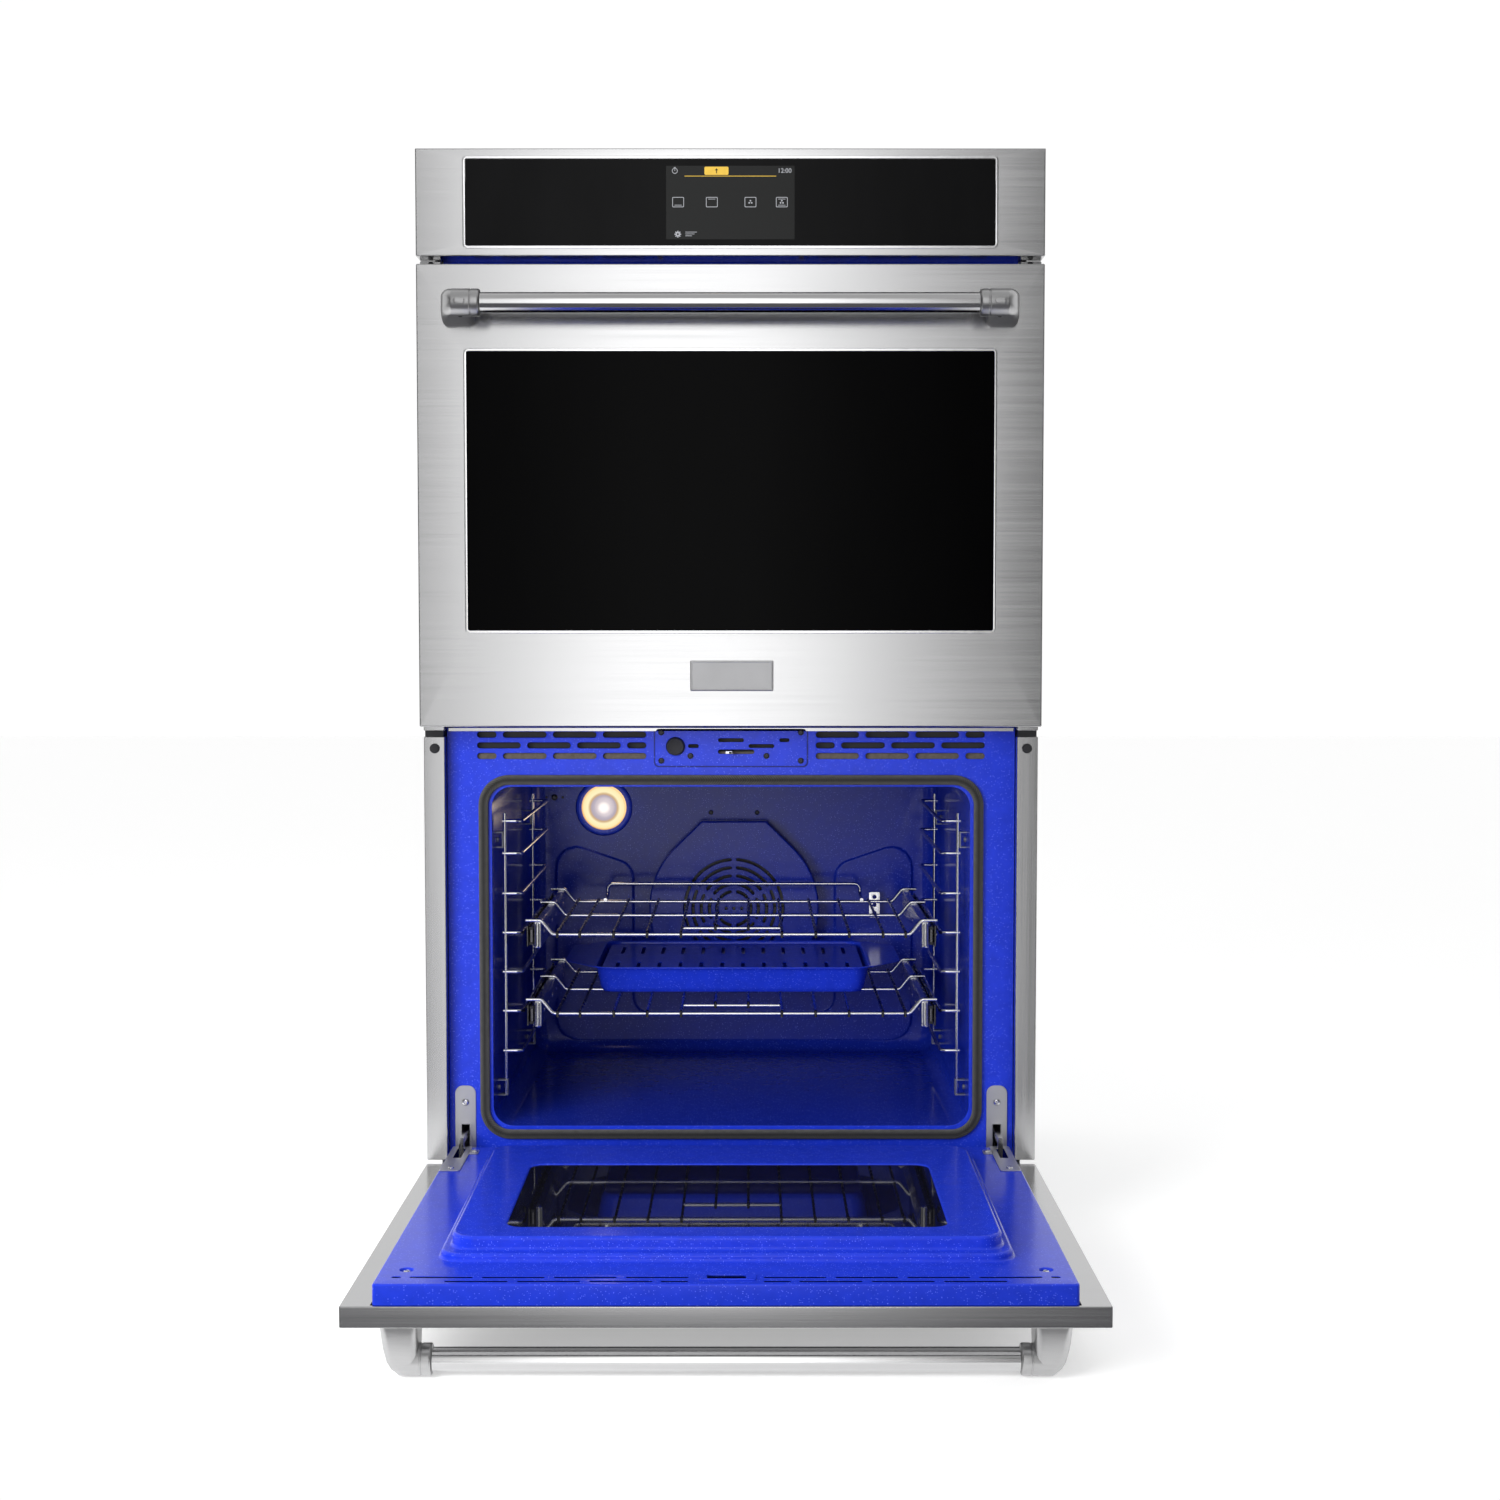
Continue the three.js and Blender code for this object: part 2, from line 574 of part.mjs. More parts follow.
function handlePost(side) {
  const shape = new THREE.Shape();
  shape.moveTo(side * 307, -GAP);
  shape.lineTo(side * 345, -GAP);
  shape.quadraticCurveTo(side * 342, -60, side * 326, -65.3);
  shape.lineTo(side * 307, -65.3);
  const web = slab(shape, BAR_HEIGHT - FERRULE_RADIUS, BAR_HEIGHT + FERRULE_RADIUS, 6);
  const length = 331 - FERRULE_INNER;
  const centre = side * (FERRULE_INNER + length / 2);
  return join([web, bar('x', FERRULE_RADIUS, [centre, BAR_DEPTH, BAR_HEIGHT], length)]);
}

/** One door, built closed and turned about its hinge line by the angle that it stands open. */
function door(name, lift, angle) {
  const group = new THREE.Group();
  const pivot = new THREE.Vector3(0, FACE + HINGE_DEPTH, HINGE_HEIGHT);
  const hung = (part, body, material) => {
    const mesh = add(group, `${name}_${part}`, body, material);
    mesh.position.copy(pivot).negate();
  };
  hung('door_skin', doorSkin(), 'stainless');
  hung('door_glass', block(-WINDOW.half, WINDOW.half, -0.5, 4, WINDOW.bottom, WINDOW.top), 'glass');
  hung('door_liner', doorLiner(), 'enamel');
  hung('inner_glass', block(-234, 234, 60, 64.2, 199, 467), 'glass');
  const length = 2 * (FERRULE_INNER - GAP);
  hung('handle_bar', bar('x', BAR_RADIUS, [0, BAR_DEPTH, BAR_HEIGHT], length), 'polished');
  hung('handle_post_left', handlePost(-1), 'polished');
  hung('handle_post_right', handlePost(1), 'polished');
  group.position.set(pivot.x, pivot.y, pivot.z + lift);
  group.rotation.x = angle;
  oven.add(group);
}

/** A hinge arm: fixed to the case, cranked so that the door can swing round its pin. */
function hingeArm(name, side, lift) {
  const [x0, x1] = ARM_X.map((x) => side * x).sort((a, b) => a - b);
  const z = lift + HINGE_HEIGHT;
  const crank = outline([
    [HINGE_DEPTH - 4, z], [HINGE_DEPTH + 4, z], [13.6, z + 37], [75, z + 37], [75, z + 45],
    [6, z + 45],
  ]);
  const arm = join([
    profile(crank, x0, x1), bar('x', 8, [(x0 + x1) / 2, HINGE_DEPTH, z], x1 - x0, 12),
    bar('x', 4, [side * 332, HINGE_DEPTH, z], 23, 8),
  ]);
  add(oven, name, arm, 'wire');
}

// ---- everything in its place -------------------------------------------------------------
casing();
trims();
controlPanel();
coolingBlower();
for (const [name, lift, angle] of [['lower', 0, Math.PI / 2], ['upper', DECK, 0]]) {
  frontFrame(name, lift, FRAME_TOPS[name]);
  cavity(name, lift);
  gasket(name, lift);
  fanBaffle(name, lift);
  fan(name, lift);
  lamp(name, lift);
  latch(name, lift);
  door(name, lift, angle);
  hingeArm(`${name}_hinge_left`, -1, lift);
  hingeArm(`${name}_hinge_right`, 1, lift);
}
broilElement('lower', 0);
rackGuide('rack_guide_left', -1);
rackGuide('rack_guide_right', 1);
for (const [name, plane] of Object.entries(RACKS)) {
  rack(name, plane);
  glideMembers(name, plane);
}
broilerPan();

export default oven;
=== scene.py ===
"""Built-in double wall oven: the look of every piece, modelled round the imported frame.

Lengths are millimetres until a piece is finished. A place is given as X to the right, depth back
from the doors' outer face, and height. Heights are the lower oven's: a lift of one deck turns
them into the upper oven's. Doors are modelled closed and then turned to where they stand.
"""

import json
import math
from collections import namedtuple

import bmesh
import bpy
from bpy.props import FloatProperty, FloatVectorProperty, IntProperty, PointerProperty
from bpy.types import Operator, Panel, PropertyGroup
from mathutils import Matrix, Vector

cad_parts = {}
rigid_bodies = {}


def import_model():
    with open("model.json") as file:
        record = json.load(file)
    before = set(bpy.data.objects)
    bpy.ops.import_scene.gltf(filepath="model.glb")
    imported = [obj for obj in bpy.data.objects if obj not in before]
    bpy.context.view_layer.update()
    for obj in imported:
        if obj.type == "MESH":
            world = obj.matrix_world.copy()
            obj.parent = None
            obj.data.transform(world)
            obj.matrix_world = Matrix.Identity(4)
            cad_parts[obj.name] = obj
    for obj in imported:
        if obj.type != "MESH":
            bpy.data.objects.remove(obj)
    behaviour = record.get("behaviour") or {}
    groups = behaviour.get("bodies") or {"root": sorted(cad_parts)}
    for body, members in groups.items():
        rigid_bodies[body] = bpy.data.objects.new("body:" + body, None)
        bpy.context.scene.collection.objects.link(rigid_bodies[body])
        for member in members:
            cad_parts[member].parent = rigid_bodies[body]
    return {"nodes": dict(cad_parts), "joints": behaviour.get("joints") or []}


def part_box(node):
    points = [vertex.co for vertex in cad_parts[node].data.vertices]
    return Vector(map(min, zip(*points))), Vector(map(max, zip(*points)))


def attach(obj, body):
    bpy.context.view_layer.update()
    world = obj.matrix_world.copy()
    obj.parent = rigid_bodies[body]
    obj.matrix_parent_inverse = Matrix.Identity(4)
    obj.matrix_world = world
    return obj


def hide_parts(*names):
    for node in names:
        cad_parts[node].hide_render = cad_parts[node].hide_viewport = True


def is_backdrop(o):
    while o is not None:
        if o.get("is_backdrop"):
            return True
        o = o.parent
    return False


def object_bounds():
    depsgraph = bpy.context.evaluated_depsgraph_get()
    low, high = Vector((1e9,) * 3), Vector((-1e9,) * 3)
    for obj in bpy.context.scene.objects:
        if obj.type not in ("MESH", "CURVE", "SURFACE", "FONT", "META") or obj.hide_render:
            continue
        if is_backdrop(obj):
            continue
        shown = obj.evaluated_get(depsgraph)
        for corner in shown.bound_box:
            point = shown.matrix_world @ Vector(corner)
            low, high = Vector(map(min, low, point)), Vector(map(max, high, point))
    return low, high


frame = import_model()

bl_info = {
    "name": "Wall Oven Builder",
    "version": (1, 0, 0),
    "blender": (4, 5, 0),
    "location": "View3D > Sidebar > Wall Oven",
    "description": "Models a built-in double wall oven round its packed frame",
    "category": "Add Mesh",
}

# ---- sizes read from the frame -----------------------------------------------------------------
MM = 0.001
OVENS = ("lower", "upper")
SIDES = (("left", -1), ("right", 1))
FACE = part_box("upper_door_skin")[0].y / MM
DECK = (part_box("upper_cavity")[0].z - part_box("lower_cavity")[0].z) / MM
LIFTS = {"lower": 0.0, "upper": DECK}
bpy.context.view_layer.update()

Edges = namedtuple("Edges", "x0 x1 d0 d1 z0 z1")


def edges_of(node, lift=0.0):
    """A CAD node's box in millimetres, with its heights lowered by a lift."""
    low, high = (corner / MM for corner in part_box(node))
    return Edges(low.x, high.x, low.y - FACE, high.y - FACE, low.z - lift, high.z - lift)


SKIN = edges_of("upper_door_skin", DECK)
GLASS = edges_of("upper_door_glass", DECK)
LINER = edges_of("upper_door_liner", DECK)
INNER_GLASS = edges_of("upper_inner_glass", DECK)
BAR = edges_of("upper_handle_bar", DECK)
POST = edges_of("upper_handle_post_right", DECK)
CAVITY = edges_of("lower_cavity")
FRAME = edges_of("lower_front_frame")
GASKET = edges_of("lower_gasket")
BAFFLE = edges_of("lower_fan_baffle")
LAMP = edges_of("lower_lamp")
HOOK = edges_of("lower_latch_hook")
SWITCH = edges_of("lower_door_switch")
FASCIA = edges_of("control_fascia")
PANEL_GLASS = edges_of("control_glass")
DISPLAY = edges_of("display_module")
WRAP = edges_of("chassis_wrap")
COVER = edges_of("rear_cover")
CONDUIT = edges_of("conduit_box")
TRIM = edges_of("side_trim_right")
BOTTOM_TRIM = edges_of("bottom_trim")
PAN = edges_of("broiler_pan")
RACKS = {name: edges_of(f"{name}_rack") for name in ("top", "bottom")}

WALL = 2.0                                  # enamelled sheet of the cavity
MOUTH = Edges(CAVITY.x0 + WALL, CAVITY.x1 - WALL, CAVITY.d0, CAVITY.d1 - WALL,
              CAVITY.z0 + WALL, CAVITY.z1 - WALL)
MOUTH_RADIUS = 25.0
STEP_RADIUS = 24.0
STEPS = ((292.0, 103.0, 512.0, 51.7), (282.3, 114.0, 499.0, 65.7))
PORTHOLE = (229.0, 204.0, 462.0)
BAFFLE_RADIUS = (BAFFLE.x1 - BAFFLE.x0) / 2
FAN_HEIGHT = BAFFLE.z0 + BAFFLE_RADIUS
LAMP_X = (LAMP.x0 + LAMP.x1) / 2
LAMP_Z = (LAMP.z0 + LAMP.z1) / 2
BAR_DEPTH = (BAR.d0 + BAR.d1) / 2
BAR_HEIGHT = (BAR.z0 + BAR.z1) / 2
BAR_RADIUS = (BAR.z1 - BAR.z0) / 2
FERRULE_RADIUS = 16.3
RUNGS = (180, 231, 281, 331, 381, 432, 473)
RACK_WIRES = (21.4, 64.0, 107.0, 149.5, 192.4, 221.0)
RACK_BARS = (100.0, 285.0, 435.0)
RACK_RISE = 18.0
RACK_SHORT_BAR = 165.0
RACK_BACKSTOP = 482.0
RAIL_CENTRES = {name: box.z0 + 20.0 for name, box in RACKS.items()}
UPPER_RACK_PLANES = (180.0, 381.0)
PROBE = (-265.0, 470.0)
BRACKET = (207.0, 312.0)
CLIP_DEPTHS = (100, 436)
CLIP_SPANS = ((124, 143, 284.2), (440, 459, 289))  # low and high edge, and reach from the middle
PAN_EAR = 227.5
GRID_PITCH = 28.2
# how bright the studio is from the left to the right in front, as the steel reflects it
STUDIO_BAND = ((-1.0, 0.16), (-0.30, 0.19), (-0.19, 0.34), (-0.11, 1.3), (-0.05, 2.7),
               (0.0, 2.7), (0.05, 1.35), (0.11, 0.22), (0.2, 0.06), (0.4, 0.07), (1.0, 0.2))
STUDIO_STRENGTH = 3.0


def place(x, depth, z):
    return Vector((x, FACE + depth, z))


# ---- outlines and paths ------------------------------------------------------------------------
def arc(u, v, radius, start, end, steps):
    """Points along an arc, its angles in degrees."""
    turns = [math.radians(start + (end - start) * i / steps) for i in range(steps + 1)]
    return [(u + radius * math.cos(a), v + radius * math.sin(a)) for a in turns]


def rounded(x0, x1, z0, z1, radius, steps=5):
    """A rounded rectangle's outline, as a function of how far it is grown."""
    def grown(by=0.0):
        r = max(radius + by, 0.02)
        left, right, low, high = x0 - by + r, x1 + by - r, z0 - by + r, z1 + by - r
        corners = ((right, low, -90), (right, high, 0), (left, high, 90), (left, low, 180))
        return [p for u, v, a in corners for p in arc(u, v, r, a, a + 90, steps)]
    return grown


def slot(x0, x1, z, width):
    """A slot with round ends, by its ends, its height and its width."""
    return rounded(x0, x1, z - width / 2, z + width / 2, width / 2 - 0.02, 4)


def circle(x, z, radius, steps=24):
    return lambda by=0.0: arc(x, z, radius + by, 0, 360 - 360 / steps, steps - 1)


def curved_slot(x, z, radius, width, start, end, steps=8):
    """A slot that runs round a centre, with round ends."""
    def grown(by=0.0):
        half = width / 2 + by
        outer = arc(x, z, radius + half, start, end, steps)
        inner = arc(x, z, radius - half, end, start, steps)
        caps = []
        for angle, turn in ((end, 0), (start, 180)):
            a = math.radians(angle)
            u, v = x + radius * math.cos(a), z + radius * math.sin(a)
            caps.append(arc(u, v, half, angle + turn, angle + turn + 180, 4)[1:-1])
        return outer + caps[0] + inner + caps[1]
    return grown


def baffle_outline(lift):
    """A circle whose sides run on up, tangent to it, to a narrow top edge."""
    def grown(by=0.0):
        radius, half, rise = BAFFLE_RADIUS + by, 51.0 + by, BAFFLE.z1 - FAN_HEIGHT + by
        tangent = math.degrees(math.atan2(rise, half) - math.acos(radius / math.hypot(half, rise)))
        z = lift + FAN_HEIGHT
        sides = arc(0, z, radius, 180 - tangent, 360 + tangent, 40)
        shoulder = 5.0 + by
        top = arc(half - shoulder, z + rise - shoulder, shoulder, 15, 90, 3)
        return sides + top + [(-u, v) for u, v in reversed(top)]
    return grown


def polygon(corners, steps=5):
    """An outline of straight sides with rounded corners: each corner is (x, z, radius).

    Corners run anticlockwise, and a growing outline moves all its sides outwards.
    """
    def grown(by=0.0):
        points, count = [], len(corners)
        for i, (x, z, radius) in enumerate(corners):
            here = Vector((x, z))
            into = (here - Vector(corners[i - 1][:2])).normalized()
            out = (Vector(corners[(i + 1) % count][:2]) - here).normalized()
            turn = math.atan2(into.x * out.y - into.y * out.x, into.dot(out))
            hand = 1 if turn > 0 else -1
            bow = max(radius + by * hand, 0.05)
            inward = Vector((-into.y, into.x)) * hand
            centre = here - into * radius * math.tan(abs(turn) / 2) + inward * radius
            first = math.degrees(math.atan2(-inward.y, -inward.x))
            points += arc(centre.x, centre.y, bow, first, first + math.degrees(turn), steps)
        return points
    return grown


def back_pressing(lift):
    """The cavity back's raised U: two legs with sloping tops and the strip that joins them."""
    low, inner_low, high, shoulder = (lift + z for z in (108.3, 150.0, 408.8, 369.6))
    outer, inner = 263.0, 149.0
    return polygon([
        (-outer, low, 33), (outer, low, 33), (outer, high, 30), (inner, shoulder, 26),
        (inner, inner_low, 22), (-inner, inner_low, 22), (-inner, shoulder, 26),
        (-outer, high, 30)])


def bend(start, end, wall_first=False, steps=3):
    """A quarter turn between two (grow, depth) points, leaving across the face or along a wall."""
    points = []
    for i in range(steps + 1):
        a = math.pi / 2 * i / steps
        across, along = math.sin(a), 1 - math.cos(a)
        if wall_first:
            across, along = along, across
        points.append((start[0] + (end[0] - start[0]) * across,
                       start[1] + (end[1] - start[1]) * along))
    return points


def filleted(corners, radius, steps=4):
    """The path through these places with each corner between its ends rounded."""
    path = [corners[0]]
    for before, corner, after in zip(corners, corners[1:], corners[2:]):
        back, ahead = (before - corner), (after - corner)
        half = back.angle(ahead) / 2
        reach = min(radius / math.tan(half), back.length * 0.49, ahead.length * 0.49)
        start, end = corner + back.normalized() * reach, corner + ahead.normalized() * reach
        away = (back.normalized() + ahead.normalized()).normalized()
        centre = corner + away * (reach / math.cos(half))
        spoke = (start - centre).length
        path += [centre + (start - centre).normalized().slerp(
            (end - centre).normalized(), i / steps) * spoke for i in range(steps + 1)]
    return path + [corners[-1]]


def frames_along(path, closed, width, height, up=None):
    """Section frames along a path, each turned from the one before without twist."""
    count = len(path)
    tangents = []
    for i, spot in enumerate(path):
        before = path[i - 1] if i or closed else spot
        after = path[(i + 1) % count] if i + 1 < count or closed else spot
        tangents.append((after - before).normalized())
    side = (up or tangents[0].orthogonal()).normalized()
    frames = []
    for i, (spot, tangent) in enumerate(zip(path, tangents)):
        if i:
            side = tangents[i - 1].rotation_difference(tangent) @ side
        side = (side - tangent * side.dot(tangent)).normalized()
        other = tangent.cross(side)
        basis = Matrix((side * height, other * width, tangent)).transposed().to_4x4()
        frames.append(Matrix.Translation(spot) @ basis)
    return frames


# ---- modelling ---------------------------------------------------------------------------------
class Shape:
    """A mesh in the making, in millimetres, with the moves that the oven's pieces need."""

    def __init__(self):
        self.bm = bmesh.new()

    def ring(self, spots):
        verts = [self.bm.verts.new(spot) for spot in spots]
        return [self.bm.edges.new(pair) for pair in zip(verts, verts[1:] + verts[:1])]

    def loop(self, points, depth):
        return self.ring([place(x, depth, z) for x, z in points])

    def bridge(self, one, other):
        bmesh.ops.bridge_loops(self.bm, edges=one + other)

    def fill(self, loops):
        edges = [edge for loop in loops for edge in loop]
        bmesh.ops.triangle_fill(self.bm, use_beauty=True, edges=edges)

    def sleeve(self, outline, levels):
        """Walls through an outline's copies, each grown by so much at its depth."""
        loops = [self.loop(outline(grow), depth) for grow, depth in levels]
        for one, other in zip(loops, loops[1:]):
            self.bridge(one, other)
        return loops[0], loops[-1]

    def loft(self, sections, caps=True):
        """A body through (outline, depth) sections, closed at both ends."""
        loops = [self.loop(outline(), depth) for outline, depth in sections]
        for one, other in zip(loops, loops[1:]):
            self.bridge(one, other)
        if caps:
            self.fill([loops[0]])
            self.fill([loops[-1]])
        return loops

    def plate(self, outer, holes, d0, d1, edge=0.5):
        """A flat sheet between two depths, with soft edges at its rim and at its holes."""
        soft = min(edge, abs(d1 - d0) * 0.49)
        rims = []
        for outline, side in [(outer, -1)] + [(hole, 1) for hole in holes]:
            levels = bend((side * soft, d0), (0, d0 + soft), steps=2)
            levels += bend((0, d1 - soft), (side * soft, d1), True, steps=2)
            rims.append(self.sleeve(outline, levels))
        for end in (0, 1):
            self.fill([rim[end] for rim in rims])

    def level_plate(self, outlines, z0, z1):
        """A level sheet between two heights: its rim's outline, then its holes'."""
        faces = [[self.ring([place(x, depth, z) for x, depth in outline()])
                  for outline in outlines] for z in (z0, z1)]
        for one, other in zip(*faces):
            self.bridge(one, other)
        for loops in faces:
            self.fill(loops)

    def block(self, x, d, z, edge=0.0, segments=2):
        """A block between two places a side, with its edges rounded over."""
        low, high = place(x[0], d[0], z[0]), place(x[1], d[1], z[1])
        size = Matrix.Diagonal((*(high - low), 1))
        made = bmesh.ops.create_cube(
            self.bm, size=1, matrix=Matrix.Translation((low + high) / 2) @ size)["verts"]
        if edge:
            self.soften({e for v in made for e in v.link_edges}, edge, segments)

    def soften(self, edges, radius, segments=2):
        bmesh.ops.bevel(self.bm, geom=list(edges), offset=radius, offset_type="OFFSET",
                        segments=segments, profile=0.5, affect="EDGES", clamp_overlap=True,
                        material=-1)

    def rod(self, start, end, radius, sides=24, edge=0.0, tip=None):
        """A round bar from one place to another, with its rims rounded over."""
        axis = end - start
        turn = axis.to_track_quat("Z", "Y").to_matrix().to_4x4()
        made = bmesh.ops.create_cone(
            self.bm, cap_ends=True, segments=sides, radius1=radius,
            radius2=radius if tip is None else tip, depth=axis.length,
            matrix=Matrix.Translation((start + end) / 2) @ turn)["verts"]
        if edge:
            caps = {f for v in made for f in v.link_faces if len(f.verts) == sides}
            self.soften({e for f in caps for e in f.edges}, edge)

    def tube(self, path, radius, sides=10, closed=False, flat=1.0, up=None, mapped=False):
        """A wire, drawn by extruding a circle from step to step along a path."""
        frames = frames_along(path, closed, radius, radius * flat, up)
        made = bmesh.ops.create_circle(
            self.bm, cap_ends=False, radius=1, segments=sides, matrix=frames[0])["verts"]
        first = list({e for v in made for e in v.link_edges})
        edges, walked = first, 0.0
        uv = self.bm.loops.layers.uv.new("UVMap") if mapped else None
        for i, (before, after) in enumerate(zip(frames, frames[1:])):
            grown = bmesh.ops.extrude_edge_only(self.bm, edges=edges)["geom"]
            verts = [g for g in grown if isinstance(g, bmesh.types.BMVert)]
            bmesh.ops.transform(self.bm, matrix=after @ before.inverted(), verts=verts)
            edges = [g for g in grown if isinstance(g, bmesh.types.BMEdge) and g.is_boundary]
            stride = (path[i + 1] - path[i]).length
            if mapped:
                self.map_step(uv, verts, before, after, walked, stride)
            walked += stride
        if closed:
            made = bmesh.ops.bridge_loops(self.bm, edges=edges + first)["faces"]
            if mapped:
                last = {v for e in edges for v in e.verts}
                self.map_step(uv, [], frames[-1], frames[0], walked,
                              (path[0] - path[-1]).length, made, last)
        else:
            bmesh.ops.contextual_create(self.bm, geom=first)
            bmesh.ops.contextual_create(self.bm, geom=edges)

    def map_step(self, uv, ahead, before, after, walked, stride, faces=None, behind=None):
        """Lays one step of a tube out: along it in metres, and round it from 0 to 1."""
        ahead = set(ahead)
        inverses = (before.inverted(), after.inverted())
        for face in faces or {f for v in ahead for f in v.link_faces}:
            spots = []
            for corner in face.loops:
                front = corner.vert not in behind if behind is not None else corner.vert in ahead
                local = inverses[front] @ corner.vert.co
                around = math.atan2(local.y, local.x) / math.tau % 1
                spots.append([(walked + stride * front) * MM, round(around, 4)])
            if max(s[1] for s in spots) - min(s[1] for s in spots) > 0.5:
                for spot in spots:
                    spot[1] += spot[1] < 0.5
            for corner, spot in zip(face.loops, spots):
                corner[uv].uv = spot

    def turned(self, profile, centre, axis, steps=32):
        """A turned body: its profile is (radius, distance along the axis) from pole to pole."""
        axis = axis.normalized()
        across = axis.orthogonal().normalized()
        verts = [self.bm.verts.new(centre + across * r + axis * h) for r, h in profile]
        edges = [self.bm.edges.new(pair) for pair in zip(verts, verts[1:])]
        bmesh.ops.spin(self.bm, geom=verts + edges, cent=centre, axis=axis, angle=math.tau,
                       steps=steps, use_merge=True)

    def screw(self, centre, axis, radius, height):
        """A pan head with a socket."""
        profile = [(0, 0.3), (0.34, 0.3), (0.4, 0.94), (0.55, 1.0), (0.8, 0.86), (0.95, 0.5),
                   (1.0, 0.2), (1.0, 0.0), (0, 0)]
        self.turned([(r * radius, h * height) for r, h in profile], centre, axis, 24)

    def text(self, body, size, x, z, depth, thick=0.1):
        """Flat lettering, laid on the front face."""
        curve = bpy.data.curves.new("lettering", "FONT")
        curve.body, curve.size, curve.extrude = body, size, thick / 2
        curve.align_x, curve.align_y = "CENTER", "CENTER"
        maker = bpy.data.objects.new("lettering", curve)
        mesh = bpy.data.meshes.new_from_object(maker)
        mesh.transform(Matrix.Translation(place(x, depth, z)) @ Matrix.Rotation(
            math.pi / 2, 4, "X"))
        self.bm.from_mesh(mesh)
        bpy.data.objects.remove(maker)
        bpy.data.curves.remove(curve)
        bpy.data.meshes.remove(mesh)


def finish(shape, name, body, look, replaces=(), sheet=None, facing=None,
           turn=None, crease=32):
    """Turns a shape into a piece of the oven that rides on a body.

    A sheet thickness gives an open shape its wall, behind the side that faces `facing`.
    """
    bm = shape.bm
    bmesh.ops.remove_doubles(bm, verts=bm.verts, dist=0.004)
    bmesh.ops.recalc_face_normals(bm, faces=bm.faces)
    if facing is not None:
        total = sum((face.normal * face.calc_area() for face in bm.faces), Vector())
        if total.dot(facing) < 0:
            bmesh.ops.reverse_faces(bm, faces=bm.faces)
    bmesh.ops.transform(bm, matrix=Matrix.Scale(MM, 4), verts=bm.verts)
    if turn is not None:
        bmesh.ops.transform(bm, matrix=turn, verts=bm.verts)
    mesh = bpy.data.meshes.new(name)
    bm.to_mesh(mesh)
    bm.free()
    mesh.shade_smooth()
    mesh.set_sharp_from_angle(angle=math.radians(crease))
    piece = bpy.data.objects.new(name, mesh)
    bpy.context.scene.collection.objects.link(piece)
    piece.data.materials.append(finish_of(look))
    if sheet:
        wall = piece.modifiers.new("Wall", "SOLIDIFY")
        wall.thickness, wall.offset, wall.use_even_offset = sheet * MM, -1, True
    shading = piece.modifiers.new("Flat faces stay flat", "WEIGHTED_NORMAL")
    shading.keep_sharp = True
    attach(piece, body)
    if replaces:
        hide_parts(*replaces)
    return piece


def stance(oven):
    """The turn that takes a closed door to where it stands at rest."""
    joint = next(j for j in frame["joints"] if j["name"] == f"{oven}_door_hinge")
    pivot = Matrix.Translation(joint["pos_m"])
    angle = -math.radians(joint["range_deg"][0])
    return pivot @ Matrix.Rotation(angle, 4, "X") @ pivot.inverted() @ Matrix.Translation(
        (0, 0, LIFTS[oven] * MM))


# ---- finishes ----------------------------------------------------------------------------------
class Value:
    """A node's output in a finish; arithmetic on it adds Math nodes."""

    def __init__(self, nodes, socket):
        self.nodes, self.socket = nodes, socket

    def math(self, operation, *operands):
        return self.nodes.add("Math", {"operation": operation}, dict(enumerate(operands)))

    def __add__(self, other):
        return self.math("ADD", self, other)

    def __sub__(self, other):
        return self.math("SUBTRACT", self, other)

    def __rsub__(self, other):
        return self.math("SUBTRACT", other, self)

    def __mul__(self, other):
        return self.math("MULTIPLY", self, other)

    def __truediv__(self, other):
        return self.math("DIVIDE", self, other)

    def __lt__(self, other):
        return self.math("LESS_THAN", self, other)

    def __gt__(self, other):
        return self.math("GREATER_THAN", self, other)

    def __abs__(self):
        return self.math("ABSOLUTE", self)

    def fraction(self):
        return self.math("FRACT", self)

    __radd__ = __add__
    __rmul__ = __mul__


